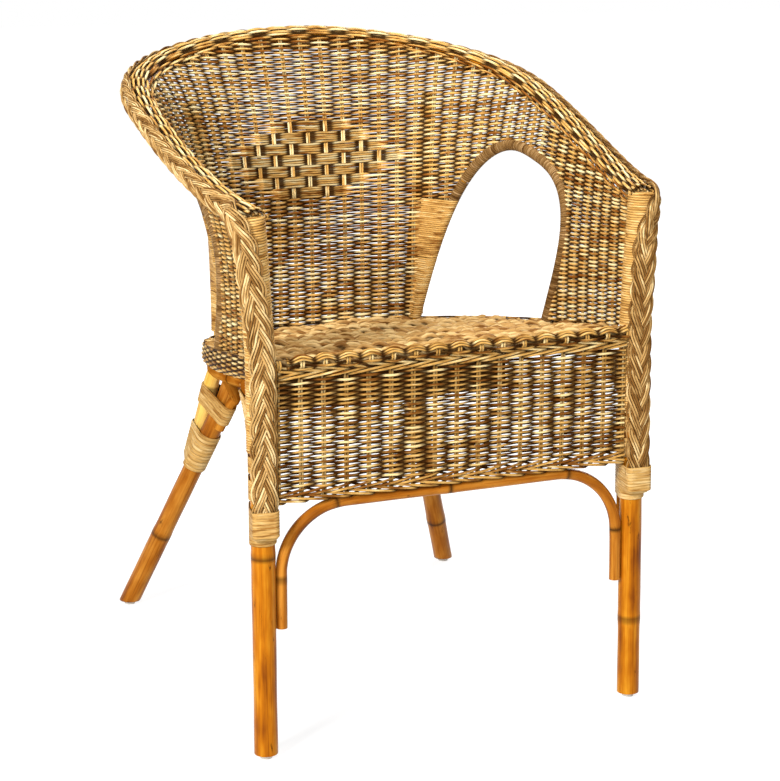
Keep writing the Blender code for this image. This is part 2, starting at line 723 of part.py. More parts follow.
# Woven tub: a wall flared like a trumpet and rolled over the rim pole, in a back and two arms
WALL_ROWS = 8
ROLL_ROWS = 6


def tub_panel(name, shares, ribbed=False):
    """The wall and roll between the first and the last share, as a sheet given its thickness.

    A ribbed sheet has a pair of stakes at each share, and is thinner midway between them.
    """
    rows = [("wall", h) for h in np.linspace(0, 1, WALL_ROWS + 1)]
    rows += [("roll", part) for part in np.linspace(0, 1, ROLL_ROWS + 1)[1:]]
    columns = [(share,) for share in shares]
    if ribbed:
        between = list(zip(shares, shares[1:]))
        columns = [columns[0], *(c for pair in zip(between, columns[1:]) for c in pair)]
    bm = bmesh.new()
    bmesh.ops.create_grid(bm, x_segments=len(columns) - 1, y_segments=len(rows) - 1, size=0.5)
    on_stakes = bm.verts.layers.deform.new()
    for vert in bm.verts:
        column = columns[round((vert.co.x + 0.5) * (len(columns) - 1))]
        kind, value = rows[round((vert.co.y + 0.5) * (len(rows) - 1))]
        places = []
        for share in column:
            turn = roll_start(share) + (ROLL_END - roll_start(share)) * value
            places.append(wall(share, value) if kind == "wall" else rim_point(share, turn, ROLL_R))
        vert.co = sum(places, Vector()) / len(places)
        vert[on_stakes][0] = 2 - len(column)
    made = add(name, bm, WEAVE)
    made.vertex_groups.new(name="stakes")
    thick = made.modifiers.new("thickness", "SOLIDIFY")
    thick.thickness = WEAVE_T
    thick.offset = 0
    thick.use_even_offset = True
    thick.vertex_group = "stakes"
    thick.thickness_vertex_group = WEAVE_T_BETWEEN / WEAVE_T
    return made


def sleeve(name, path, radius):
    """A helper: weave wound round a pole, to be joined to the weave beside it."""
    return add(name, tube(path, [radius + GAP + WINDING_T] * len(path), 14), None, helper=True)


def opening(name, side):
    """A helper: all that lies inside an arm hoop."""
    rim = hoop_path(side)
    feet = [rim[end] - Vector((0, 0, WINDING_FOOT)) for end in (0, -1)]
    bm = bmesh.new()
    face = bm.faces.new([bm.verts.new((side * SEAT_BAR_X, p.y, p.z)) for p in [feet[0], *rim, feet[1]]])
    pushed = bmesh.ops.extrude_face_region(bm, geom=[face])
    for vert in (part for part in pushed["geom"] if isinstance(part, bmesh.types.BMVert)):
        vert.co.x = side * (RIM_HALF_W + BRAID_W)
    return add(f"opening_{name}", bm, None, helper=True)


back = tub_panel("back_weave", [share for share in RIM_SHARES if abs(share) <= splits[0]], ribbed=True)
for name, side in SIDES.items():
    sleeve_top = wall(POST_SHARE, POST_SLEEVE_TOP).z
    around = [p for p in post_path(side) if seat_top(p.y) - SEAT_T < p.z < sleeve_top]
    join(back, sleeve(f"sleeve_back_post_{name}", around, POST_R))
openings = {name: opening(name, side) for name, side in SIDES.items()}
cut(back, *openings.values(), *post_rooms.values(), *hoop_rooms.values(), seat_room)

for name, side in SIDES.items():
    arm = tub_panel(f"arm_weave_{name}", [side * share for share in RIM_SHARES if share >= splits[1]])
    around = [p for p in front_leg_path(side, 0, LEG_TOP_Z) if p.z > SEAT_FRONT_Z - WINDING_FOOT]
    join(arm, sleeve(f"sleeve_front_leg_{name}", around, FRONT_LEG_R))
    cut(arm, openings[name], hoop_rooms[name], leg_rooms[name], post_rooms[name], seat_room)


# Braid: a flat plait along the outside of the rim and down the front of each front leg
def plait(name, stations, grow=0):
    """A flat oval bar through the stations."""
    section = []
    for turn in np.linspace(0, 2 * math.pi, 10, endpoint=False):
        section.append(((BRAID_W / 2 + grow) * math.cos(turn), (BRAID_T / 2 + grow) * math.sin(turn)))
    return add(name, flat_bar(stations, section), BRAID, helper=grow > 0)


rim_out = ROLL_R + WEAVE_T / 2 + RIM_GAP + BRAID_T / 2
stations = []
for share in RIM_SHARES:
    along, out, up = rim_frame(share)
    facing = out * math.cos(BRAID_ROLL) + up * math.sin(BRAID_ROLL)
    stations.append((rim_centre(share) + facing * rim_out, along.cross(facing), facing))
plait("rim_braid", stations)

for name, side in SIDES.items():
    facing = braid_facing(side)
    across = Vector((0, 0, 1)).cross(facing)
    path = front_leg_path(side, BRAID_FOOT_Z, BRAID_TOP_Z)
    stations = [(p + facing * braid_off, across, facing) for p in path]
    plait(f"post_braid_{name}", stations)
    room = plait(f"room_post_braid_{name}", stations, grow=GAP * 2)
    cut(seat, room)
    cut(apron, room)


# Feet: round glides with a flat underside and a softened edge
def glide(name, x, y):
    bm = bmesh.new()
    place = Matrix.Translation((x, y, GLIDE_H / 2))
    bmesh.ops.create_cone(
        bm,
        cap_ends=True,
        segments=16,
        radius1=GLIDE_D / 2 - GLIDE_BEVEL,
        radius2=GLIDE_D / 2,
        depth=GLIDE_H,
        matrix=place,
    )
    add(name, bm, PLASTIC)


for name, side in SIDES.items():
    glide(f"glide_front_{name}", side * FRONT_LEG_X, 0)
    rear = rear_leg_at(side, GLIDE_H)
    glide(f"glide_rear_{name}", rear.x, rear.y)

# The origin goes to the middle of the chair's box, at the floor
bpy.context.view_layer.update()
graph = bpy.context.evaluated_depsgraph_get()
depths = []
for piece in chair.children:
    if not piece.hide_render:
        depths += [corner[1] for corner in piece.evaluated_get(graph).bound_box]
chair.location.y = -(min(depths) + max(depths)) / 2
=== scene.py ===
import math

import bmesh
import bpy
import numpy as np
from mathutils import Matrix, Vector


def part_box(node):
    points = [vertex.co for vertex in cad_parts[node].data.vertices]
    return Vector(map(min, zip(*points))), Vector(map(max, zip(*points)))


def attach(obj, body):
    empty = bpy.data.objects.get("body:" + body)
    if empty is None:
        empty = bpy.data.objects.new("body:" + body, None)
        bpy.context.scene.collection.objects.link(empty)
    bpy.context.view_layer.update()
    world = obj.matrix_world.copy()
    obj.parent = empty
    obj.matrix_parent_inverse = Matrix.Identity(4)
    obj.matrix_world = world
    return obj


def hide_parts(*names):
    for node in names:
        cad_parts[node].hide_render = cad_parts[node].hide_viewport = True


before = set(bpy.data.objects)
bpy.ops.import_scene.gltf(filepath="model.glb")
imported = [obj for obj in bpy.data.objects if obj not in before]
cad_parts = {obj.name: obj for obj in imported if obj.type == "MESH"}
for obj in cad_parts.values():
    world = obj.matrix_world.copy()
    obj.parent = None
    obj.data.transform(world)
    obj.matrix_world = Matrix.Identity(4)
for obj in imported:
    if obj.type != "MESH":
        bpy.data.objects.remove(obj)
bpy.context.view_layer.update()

# Front legs: thick rattan poles, varnished honey brown over the cane's own skin, that stand under the arms.
# Rattan swells at its nodes, the scars of old leaves, and keeps dark streaks between them.
# Everything below is laid out with Y = 0 at the axis of the front legs, so pieces are moved by ORIGIN.
SIDES = {"left": -1, "right": 1}
low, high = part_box("glide_front_left")
ORIGIN = np.array((0, (low.y + high.y) / 2, 0))
GAP = 0.0003
GLIDE_TOP_Z = 0.005 + GAP
FRONT_LEG_R = 0.013
SEAT_FRONT_Z = 0.441
SEAT_HALF_W = 0.214
FRONT_LEG_X = SEAT_HALF_W + 0.0095
FRONT_LEG_IN = 0.0063
FRONT_LEG_OUT = 0.060
FRONT_LEG_BACK = 0.017
RIM_FRONT_Z = SEAT_FRONT_Z + 0.1442
RIM_HOOP_R = 0.007
LEG_TOP_Z = RIM_FRONT_Z - RIM_HOOP_R - GAP
POLE_FIT = 0.985
NODE_SWELL = 0.055
NODE_GROOVE = 0.03
NODE_DARK = 0.95


def unit(vectors):
    return vectors / np.linalg.norm(vectors, axis=-1, keepdims=True)


def distances(points):
    """How far along a line each of its points lies."""
    return np.append(0, np.cumsum(np.linalg.norm(np.diff(points, axis=0), axis=1)))


def sampled(points, at, run):
    """A line's points at new places, from the places that its own points have."""
    return np.stack([np.interp(at, run, column) for column in points.T], 1)


def fill(tree, node, inputs):
    """A link from a socket, or a constant, for each of a node's inputs, by its name or its number."""
    for key, given in inputs.items():
        socket = node.inputs[key]
        if isinstance(given, bpy.types.NodeSocket):
            tree.links.new(given, socket)
        elif socket.type == "RGBA":
            socket.default_value = (*given, 1)
        else:
            socket.default_value = given


def new_node(tree, kind, inputs, **settings):
    """A shader node with its settings and its inputs."""
    made = tree.nodes.new(f"ShaderNode{kind}")
    for key, value in settings.items():
        setattr(made, key, value)
    fill(tree, made, inputs)
    return made


def math_tree(tree, operation, first, second):
    return new_node(tree, "Math", {0: first, 1: second}, operation=operation).outputs[0]


def mix_tree(tree, blend, fac, first, second):
    """A colour mix. A mix node has its colours as sockets 6 and 7, and their result as output 2."""
    made = new_node(tree, "Mix", {0: fac, 6: first, 7: second}, data_type="RGBA", blend_type=blend)
    return made.outputs[2]


def attribute_tree(tree, name, output):
    """An attribute of the mesh."""
    return new_node(tree, "Attribute", {}, attribute_name=name).outputs[output]


def noise_tree(tree, vector, scale, detail=3.0, rough=0.6):
    inputs = {"Vector": vector, "Scale": scale, "Detail": detail, "Roughness": rough}
    return new_node(tree, "TexNoise", inputs).outputs["Fac"]


def grain_tree(tree, stretch, detail, rough, scale=1.0):
    """Noise in the grain of a cane, scaled across it twice and then along it."""
    made = new_node(tree, "Mapping", {"Vector": attribute_tree(tree, "grain", "Vector"), "Scale": stretch})
    return noise_tree(tree, made.outputs["Vector"], scale, detail, rough)


def ramp_tree(tree, value, *stops):
    """A colour ramp of two stops, each a place and a linear colour."""
    made = new_node(tree, "ValToRGB", {"Fac": value})
    for element, (place, colour) in zip(made.color_ramp.elements, stops):
        element.position = place
        element.color = (*colour, 1)
    return made.outputs["Color"]


def tone_tree(tree, value, blend, ranges, tones):
    """Dark, middle and light tones mixed by a value, over a range for each step."""
    colour = tones["Dark"]
    for (low, high), next_tone in zip(ranges, ("Middle", "Light")):
        inputs = {"Value": value, "From Min": low, "From Max": high}
        step = new_node(tree, "MapRange", inputs, interpolation_type=blend).outputs["Result"]
        colour = mix_tree(tree, "MIX", step, colour, tones[next_tone])
    return colour


def colour_group(name):
    """A node group that makes a cane's colour and its relief from three tones."""
    group = bpy.data.node_groups.new(name, "ShaderNodeTree")
    for socket in ("Dark", "Middle", "Light"):
        group.interface.new_socket(socket, in_out="INPUT", socket_type="NodeSocketColor")
    group.interface.new_socket("Color", in_out="OUTPUT", socket_type="NodeSocketColor")
    group.interface.new_socket("Relief", in_out="OUTPUT", socket_type="NodeSocketFloat")
    return group, group.nodes.new("NodeGroupInput").outputs, group.nodes.new("NodeGroupOutput")


def rattan_group():
    """Varnished rattan: streaks along the cane and patches, with stains and fine flecks."""
    group, given, result = colour_group("rattan colour")
    streaks = grain_tree(group, (90, 90, 3), 4, 0.65, 1.6)
    patches = grain_tree(group, (40, 40, 13), 3, 0.55)
    streaks_part = math_tree(group, "MULTIPLY", streaks, 0.45)
    value = math_tree(group, "ADD", streaks_part, math_tree(group, "MULTIPLY", patches, 0.55))
    colour = tone_tree(group, value, "LINEAR", ((0.34, 0.46), (0.46, 0.60)), given)
    marks = grain_tree(group, (130, 130, 32), 4, 0.7)
    stains = ramp_tree(group, marks, (0.27, (0.10, 0.06, 0.05)), (0.36, (1, 1, 1)))
    colour = mix_tree(group, "MULTIPLY", 0.9, colour, stains)
    fine = grain_tree(group, (420, 420, 10), 2, 0.5)
    flecks = ramp_tree(group, fine, (0.30, (0.55, 0.42, 0.32)), (0.42, (1, 1, 1)))
    colour = mix_tree(group, "MULTIPLY", 0.7, colour, flecks)
    fill(group, result, {"Color": colour, "Relief": streaks})
    return group


def new_material(name):
    """A material with its node tree and shader."""
    made = bpy.data.materials.new(name)
    made.use_nodes = True
    return made, made.node_tree, made.node_tree.nodes["Principled BSDF"]


def cane_material(name, group, tones, scar_and_shade, finish, relief):
    """A material of three tones, mixed towards a darker colour by the mesh's darkness: real scars, and
    painted shade.
    """
    made, tree, shader = new_material(name)
    cover = new_node(tree, "Group", dict(zip(("Dark", "Middle", "Light"), tones)), node_tree=group).outputs
    colour = mix_tree(tree, "MIX", attribute_tree(tree, "scar_and_shade", "Fac"), cover["Color"], scar_and_shade)
    bump = new_node(tree, "Bump", {"Height": cover["Relief"], **relief})
    fill(tree, shader, {"Base Color": colour, "Normal": bump.outputs["Normal"], **finish})
    return made


rattan = rattan_group()


def pole_material(name, tones, scar_and_shade, gloss=0.15):
    finish = {"Roughness": 0.34, "Specular IOR Level": gloss, "Specular Tint": (1, 0.62, 0.22)}
    return cane_material(name, rattan, tones, scar_and_shade, finish, {"Strength": 0.25, "Distance": 0.0006})


honey_tones = ((0.18, 0.039, 0.003), (0.44, 0.132, 0.004), (0.65, 0.27, 0.016))
honey = pole_material("honey pole", honey_tones, (0.020, 0.006, 0.002))


def placed(name, data):
    """An object in the scene for a mesh, a lamp or a camera."""
    made = bpy.data.objects.new(name, data)
    bpy.context.scene.collection.objects.link(made)
    return made


def bars(name, lines, look, sides, nodes, flat=1.0):
    """A piece made of bars swept along lines: one bevelled curve turned into a mesh.

    Each line has points, a radius or one for each point, and a tone that tells its bar from the others.
    A line can also have outs, directions along which its bar is flattened, and a darkness for each point:
    real scars on the poles, painted shade on the reeds. A line with lean, a direction for each point, gets
    painted shade by its shade on the sides that don't face that way, or, where both is 1, on the sides that
    face neither that way nor back.
    """
    curve = bpy.data.curves.new(name, "CURVE")
    curve.dimensions = "3D"
    curve.bevel_depth = 1.0
    curve.bevel_resolution = (sides - 4) // 2
    curve.use_fill_caps = True
    for line in lines:
        count = len(line["points"])
        spline = curve.splines.new("POLY")
        spline.points.add(count - 1)
        places = np.ones((count, 4))
        places[:, :3] = line["points"] + ORIGIN
        spline.points.foreach_set("co", places.ravel())
        spline.points.foreach_set("radius", np.broadcast_to(line["radius"], count).ravel())
    holder = bpy.data.objects.new(name, curve)
    mesh = bpy.data.meshes.new_from_object(holder)
    bpy.data.objects.remove(holder)
    bpy.data.curves.remove(curve)
    mesh.name = name
    counts = [len(line["points"]) for line in lines]
    points = np.concatenate([line["points"] for line in lines]) + ORIGIN
    values = {}
    for key in ("radius", "tone", "scars_and_shade", "shade", "both"):
        given = [np.broadcast_to(line.get(key, 0.0), count) for line, count in zip(lines, counts)]
        values[key] = np.concatenate(given)
    along = np.concatenate([distances(line["points"]) for line in lines])

    # The caps come first, from the last bar to the first and each with its far end first, and then the rings
    firsts = np.cumsum([0, *counts])
    caps = np.stack([firsts[1:] - 1, firsts[:-1]], 1)[::-1].ravel()
    source = np.repeat(np.concatenate([caps, np.arange(len(points))]), sides)
    turn = np.tile(np.arange(sides) * 2 * np.pi / sides, len(source) // sides)
    radius = values["radius"][source]
    grain = np.stack([radius * np.cos(turn), radius * np.sin(turn), along[source]], 1)
    grain[:, 0] += values["tone"][source] * 0.7
    places = np.empty(len(mesh.vertices) * 3)
    mesh.vertices.foreach_get("co", places)
    places = places.reshape(-1, 3)
    # Painted shade: each vertex is darkened by how far its side faces away from its line's lean, on top of
    # the line's own darkness.
    leans = [np.broadcast_to(line.get("lean", 0.0), (count, 3)) for line, count in zip(lines, counts)]
    faced = np.sum((places - points[source]) * np.concatenate(leans)[source], axis=1) / radius
    faced = np.where(values["both"][source] > 0.5, np.abs(faced), faced)
    dark = np.clip(values["scars_and_shade"][source] + values["shade"][source] * (0.35 - faced), 0, 0.96)
    if flat < 1:
        outs = np.concatenate([line["outs"] for line in lines])[source]
        places -= (1 - flat) * np.sum((places - points[source]) * outs, axis=1, keepdims=True) * outs
        mesh.vertices.foreach_set("co", places.ravel())
    for key, kind, field, given in (
        ("tone", "FLOAT", "value", values["tone"][source]),
        ("scar_and_shade", "FLOAT", "value", dark),
        ("grain", "FLOAT_VECTOR", "vector", grain),
    ):
        mesh.attributes.new(key, kind, "POINT").data.foreach_set(field, given.astype(np.float32).ravel())
    bm = bmesh.new()
    bm.from_mesh(mesh)
    bmesh.ops.remove_doubles(bm, verts=bm.verts, dist=1e-6)
    bm.to_mesh(mesh)
    bm.free()
    mesh.shade_smooth()
    mesh.set_sharp_from_angle(angle=math.radians(65))
    mesh.materials.append(look)
    piece = placed(name, mesh)
    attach(piece, "root")
    if nodes:
        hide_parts(*nodes)
    return piece


def pole(points, radius, tone, scars_and_shade=(), step=0.004):
    """A line for a pole: points spaced evenly, swollen at its nodes, at these shares of its length."""
    points = np.array(points, float)
    run = distances(points)
    count = max(int(run[-1] / step), 2)
    at = np.linspace(0, run[-1], count + 1)
    swell = np.ones(count + 1)
    dark = np.zeros(count + 1)
    for share in scars_and_shade:
        off = np.abs(at - share * run[-1])
        swell += NODE_SWELL * np.exp(-((off / 0.006) ** 2)) - NODE_GROOVE * np.exp(-((off / 0.0022) ** 2))
        dark = np.maximum(dark, NODE_DARK * np.exp(-((off / 0.0026) ** 2)))
    wave = 1 + 0.012 * np.sin(at * 31 + tone * 40) + 0.008 * np.sin(at * 74 + tone * 90)
    return {"points": sampled(points, at, run), "radius": radius * swell * wave, "tone": tone, "scars_and_shade": dark}


def rattan_piece(name, node, line, look, sides):
    """A piece that is one pole, in place of the node."""
    return bars(name, [line], look, sides, [node])


def front_leg_at(side, z):
    """The axis of a front leg at a height. It leans in and back, and out again above the seat."""
    z = np.asarray(z, float)
    x = FRONT_LEG_X - FRONT_LEG_IN * z + FRONT_LEG_OUT * np.maximum(z - SEAT_FRONT_Z, 0)
    return np.stack([side * x, FRONT_LEG_BACK * z, z], -1)


for name, side in SIDES.items():
    path = front_leg_at(side, np.linspace(GLIDE_TOP_Z, LEG_TOP_Z - 0.006, 80))
    nodes = (0.392, 0.86) if side < 0 else (0.16, 0.60)
    line = pole(path, FRONT_LEG_R * POLE_FIT, 0.21 + 0.34 * (side > 0), nodes)
    rattan_piece(f"front_leg_pole_{name}", f"front_leg_{name}", line, honey, 24)

# Rear legs: poles of the same cane that splay back and out to the floor, and bend upright to the seat hoop.
# They are steamed and bent, so the skin keeps its streaks round the bend.
SEAT_SLOPE = 0.147
SEAT_DEPTH = 0.437
SEAT_SQUARENESS = 2.7
SEAT_T = 0.008
SEAT_LIP = 0.006
SEAT_HOOP_R = 0.008
HOOP_BELOW = SEAT_T + GAP + SEAT_HOOP_R
HOOP_IN = SEAT_LIP - SEAT_HOOP_R
REAR_LEG_R = 0.01275
REAR_LEG_IN = 0.349
REAR_LEG_FORWARD = 0.400
REAR_FOOT_X = SEAT_HALF_W + 0.0145
REAR_FOOT_Y = SEAT_DEPTH + 0.095
REAR_HEAD_SHARE = 0.215
REAR_BEND_BELOW = 0.068
REAR_UPRIGHT = 0.021
REAR_BEND_OUT = 0.0034
umber_tones = ((0.14, 0.034, 0.004), (0.35, 0.105, 0.007), (0.55, 0.22, 0.028))
umber_scar = (0.018, 0.006, 0.002)
umber = pole_material("brown pole", umber_tones, umber_scar)


def plan(half_width, front_half_width, widest_y, back_y, squareness):
    """Half of a plan, from the middle of the back to the front, by the share of its length."""
    turn = np.linspace(0, np.pi / 2, 400)
    xs = half_width * np.sin(turn) ** (2 / squareness)
    ys = widest_y + (back_y - widest_y) * np.maximum(np.cos(turn), 0) ** (2 / squareness)
    if widest_y > 0:
        arm_y = np.linspace(widest_y, 0, 100)[1:]
        xs = np.append(xs, half_width - (half_width - front_half_width) * (1 - arm_y / widest_y) ** 2)
        ys = np.append(ys, arm_y)
    run = np.append(0, np.cumsum(np.hypot(np.diff(xs), np.diff(ys))))
    run /= run[-1]

    def at(share):
        far = np.abs(share)
        return np.stack([np.sign(share) * np.interp(far, run, xs), np.interp(far, run, ys), 0 * far], -1)

    return at


def level_out(along):
    """The level direction to the outside of a line that runs along."""
    return unit(np.stack([-along[..., 1], along[..., 0], 0 * along[..., 0]], -1))


def outward(at, share):
    """The level direction out of a plan."""
    return level_out(at(np.minimum(share + 0.01, 1)) - at(np.maximum(share - 0.01, -1)))


seat_plan = plan(SEAT_HALF_W, SEAT_HALF_W, 0, SEAT_DEPTH, SEAT_SQUARENESS)


def seat_top(y):
    return SEAT_FRONT_Z - SEAT_SLOPE * y


def seat_edge(share, out, below):
    """Points beside the seat's edge line: so far out of it, and so far below the top of the seat."""
    share = np.asarray(share, float)
    place = seat_plan(share) + outward(seat_plan, share) * np.asarray(out)[..., None]
    place[..., 2] = seat_top(place[..., 1]) - below
    return place


def through(points, per_span):
    """A smooth line through the points."""
    points = np.array(points, float)
    padded = np.concatenate([[points[0] * 2 - points[1]], points, [points[-1] * 2 - points[-2]]])
    line = []
    for a, b, c, d in zip(padded, padded[1:], padded[2:], padded[3:]):
        for t in np.arange(per_span) / per_span:
            bend = (a * 2 - b * 5 + c * 4 - d) * t**2 + (b * 3 - a - c * 3 + d) * t**3
            line.append((b * 2 + (c - a) * t + bend) / 2)
    return np.array([*line, points[-1]])


def rear_leg_at(side, z):
    """The axis of the straight lower part of a rear leg at a height."""
    z = np.asarray(z, float)
    return np.stack([side * (REAR_FOOT_X - REAR_LEG_IN * z), REAR_FOOT_Y - REAR_LEG_FORWARD * z, z], -1)


def rear_leg_along(side):
    return unit(np.array((-side * REAR_LEG_IN, -REAR_LEG_FORWARD, 1)))


for name, side in SIDES.items():
    head = seat_edge(side * REAR_HEAD_SHARE, HOOP_IN, HOOP_BELOW)
    bend = rear_leg_at(side, head[2] - REAR_BEND_BELOW)
    upright = head - (0, 0, REAR_UPRIGHT)
    turn = (bend + upright) / 2 + rear_leg_along(side) * REAR_BEND_OUT
    foot = rear_leg_at(side, GLIDE_TOP_Z - REAR_LEG_R)
    above = bend - rear_leg_along(side) * REAR_LEG_R * 2
    path = through([*np.linspace(foot, above, 5), bend, turn, upright, head - (0, 0, SEAT_HOOP_R)], 8)
    nodes = (0.31, 0.93) if side < 0 else (0.22, 0.80)
    line = pole(path, REAR_LEG_R * POLE_FIT, 0.77 + 0.15 * (side > 0), nodes)
    leg = rattan_piece(f"rear_leg_pole_{name}", f"rear_leg_{name}", line, umber, 24)
    bm = bmesh.new()
    bm.from_mesh(leg.data)
    everything = [*bm.verts, *bm.edges, *bm.faces]
    level = {"plane_co": (0, 0, GLIDE_TOP_Z), "plane_no": (0, 0, 1)}
    cut = bmesh.ops.bisect_plane(bm, geom=everything, clear_inner=True, **level)
    rim = [item for item in cut["geom_cut"] if isinstance(item, bmesh.types.BMEdge)]
    bmesh.ops.holes_fill(bm, edges=rim, sides=0)
    bmesh.ops.recalc_face_normals(bm, faces=bm.faces)
    bm.to_mesh(leg.data)
    bm.free()

# Seat frame: a horseshoe of thin pole under the seat, a rail across its front and two bars, all nailed.
# Only its underside shows, below the seat and behind the apron.
APRON_Y = -0.001
WEAVE_T = 0.006
RAIL_Y = APRON_Y + WEAVE_T / 2 + GAP + SEAT_HOOP_R
SEAT_BAR_X = 0.070
SEAT_BAR_R = 0.006
CANE_FIT = 0.98
shares = np.linspace(0.8, 1, 400)
hoop_end = shares[seat_edge(shares, HOOP_IN, 0)[:, 1] > RAIL_Y].max()
path = seat_edge(np.linspace(-hoop_end, hoop_end, 160), HOOP_IN, HOOP_BELOW)
line = pole(path, SEAT_HOOP_R * CANE_FIT, 0.35, (0.2, 0.47, 0.72))
rattan_piece("seat_hoop_pole", "seat_hoop", line, honey, 16)
rail_z = seat_top(RAIL_Y) - HOOP_BELOW
reach = front_leg_at(1, rail_z)[0]
ends = [(-reach, RAIL_Y, rail_z), (reach, RAIL_Y, rail_z)]
line = pole(ends, SEAT_HOOP_R * CANE_FIT, 0.64, (0.3, 0.8))
rattan_piece("seat_rail_pole", "seat_front_rail", line, honey, 16)
edge = seat_edge(np.linspace(0, 0.3, 200), HOOP_IN, 0)
back_y = edge[np.argmin(np.abs(edge[:, 0] - SEAT_BAR_X)), 1]
for name, side in SIDES.items():
    ends = [(side * SEAT_BAR_X, y, seat_top(y) - SEAT_T - GAP - SEAT_BAR_R) for y in (RAIL_Y, back_y)]
    line = pole(ends, SEAT_BAR_R * CANE_FIT, 0.12 + side * 0.05, (0.4,))
    rattan_piece(f"seat_bar_pole_{name}", f"seat_bar_{name}", line, honey, 12)

# Rim pole: a thin cane bent round the top of the arms and back, nailed on the front legs.
# The weave is rolled over it and the plait covers its two ends.
RIM_HALF_W = SEAT_HALF_W + 0.035
RIM_BACK_Y = SEAT_DEPTH + 0.050
RIM_BACK_Z = RIM_FRONT_Z + 0.1485
RIM_WIDEST_Y = RIM_BACK_Y - 0.207
RIM_SQUARENESS = 2.68
RIM_RISE = 0.835
RIM_END = 0.955
ROLL_R = RIM_HOOP_R + 0.0006 + WEAVE_T / 2
ROLL_START = math.radians(145)
ROLL_START_FRONT = math.radians(172)
ROLL_END = math.radians(-15)
rim_plan = plan(RIM_HALF_W, FRONT_LEG_X, RIM_WIDEST_Y, RIM_BACK_Y, RIM_SQUARENESS)


def rim_centre(share):
    """The axis of the rim pole, from the left arm at -1 to the right arm at 1."""
    share = np.asarray(share, float)
    rise = np.maximum(1 - np.abs(share), 0) ** RIM_RISE
    place = rim_plan(share)
    place[..., 2] = RIM_FRONT_Z + (RIM_BACK_Z - RIM_FRONT_Z) * rise * rise * (3 - 2 * rise)
    return place


def rim_frame(share):
    """Two directions at the rim pole: level and out of it, and up."""
    along = unit(rim_centre(np.minimum(share + 0.01, 1)) - rim_centre(np.maximum(share - 0.01, -1)))
    out = level_out(along)
    return out, np.cross(along, out)


def rim_point(share, angle, radius):
    """Points beside the rim pole: an angle of zero is straight out, a right angle is straight up."""
    out, up = rim_frame(share)
    around = out * np.cos(angle)[..., None] + up * np.sin(angle)[..., None]
    return rim_centre(share) + around * np.asarray(radius)[..., None]


line = pole(rim_centre(np.linspace(-RIM_END, RIM_END, 200)), RIM_HOOP_R * CANE_FIT, 0.5)
rattan_piece("rim_pole", "rim_hoop", line, honey, 16)

# Back posts: thinner yellow poles, sanded less than the legs, that climb the outside of the back to the rim.
# Their feet are cut slanting and lashed to the rear legs, and they are nailed to the seat hoop.
POST_R = 0.00975
REAR_BINDING_Z = (SEAT_FRONT_Z - 0.241, SEAT_FRONT_Z - 0.191)
BOW_END_Z = (SEAT_FRONT_Z - 0.169, SEAT_FRONT_Z - 0.143)
POST_TIP_Z = SEAT_FRONT_Z - 0.219
POST_SHARE = 0.228
POST_TOP_SHARE = 0.272
POST_TURN = math.radians(70)
POST_CLEAR = 0.003
FLARE = 3.0
yellow_tones = ((0.55, 0.25, 0.028), (0.80, 0.45, 0.075), (0.92, 0.62, 0.17))
yellow = pole_material("yellow pole", yellow_tones, (0.10, 0.04, 0.012))


def roll_start(share):
    """Where the wall meets the roll: it turns under the pole at the front, where the wall stands upright."""
    return ROLL_START + (ROLL_START_FRONT - ROLL_START) * np.abs(share) ** 6


def wall(share, height):
    """Points of the weave's middle surface, from the seat at zero to the roll of the rim at one."""
    share, height = np.broadcast_arrays(np.asarray(share, float), np.asarray(height, float))
    foot = seat_edge(share, 0, -GAP)
    top = rim_point(share, roll_start(share), np.full(share.shape, ROLL_R))
    place = foot + (top - foot) * np.maximum(height, 0)[..., None] ** FLARE
    place[..., 2] = foot[..., 2] + (top[..., 2] - foot[..., 2]) * height
    return place


def wall_out(share, height):
    """The direction out of the weave's surface."""
    across = wall(np.minimum(share + 0.01, 1), height) - wall(np.maximum(share - 0.01, -1), height)
    up = wall(share, np.minimum(height + 0.01, 1)) - wall(share, np.maximum(height - 0.01, 0))
    return unit(np.cross(up, across))


def off_wall(share, height, out):
    """Points so far out of the weave's surface."""
    share, height = np.broadcast_arrays(np.asarray(share, float), np.asarray(height, float))
    return wall(share, height) + wall_out(share, height) * np.asarray(out)[..., None]


def beside_leg(side, direction, radius):
    """From the axis of a rear leg to the axis of a pole that lies against it, on the side of a direction."""
    along = rear_leg_along(side)
    direction = np.array(direction, float)
    return unit(direction - along * (direction @ along)) * (REAR_LEG_R + radius + GAP * 2)


def post_foot(side):
    """Two points of the straight foot of a post: where it is lashed to the rear leg, and beside the seat."""
    behind = (side * math.cos(POST_TURN), math.sin(POST_TURN), 0)
    touch = rear_leg_at(side, REAR_BINDING_Z[1]) + beside_leg(side, behind, POST_R)
    return touch, seat_edge(side * POST_SHARE, SEAT_LIP + GAP + POST_R + POST_CLEAR, HOOP_BELOW)


def post_path(side):
    touch, at_seat = post_foot(side)
    end = touch + (at_seat - touch) * (POST_TIP_Z - touch[2]) / (at_seat[2] - touch[2])
    heights = np.linspace(0.3, 0.84, 5)
    shares = side * (POST_SHARE + (POST_TOP_SHARE - POST_SHARE) * heights)
    rise = off_wall(shares, heights, np.full(5, WEAVE_T / 2 + GAP * 2 + POST_R))
    return through([*np.linspace(end, at_seat, 4), *rise], 8)


for name, side in SIDES.items():
    nodes = (0.20, 0.55) if side < 0 else (0.29, 0.62)
    line = pole(post_path(side), POST_R * POLE_FIT, 0.43 + 0.2 * (side > 0), nodes)
    rattan_piece(f"back_post_pole_{name}", f"back_post_{name}", line, yellow, 20)

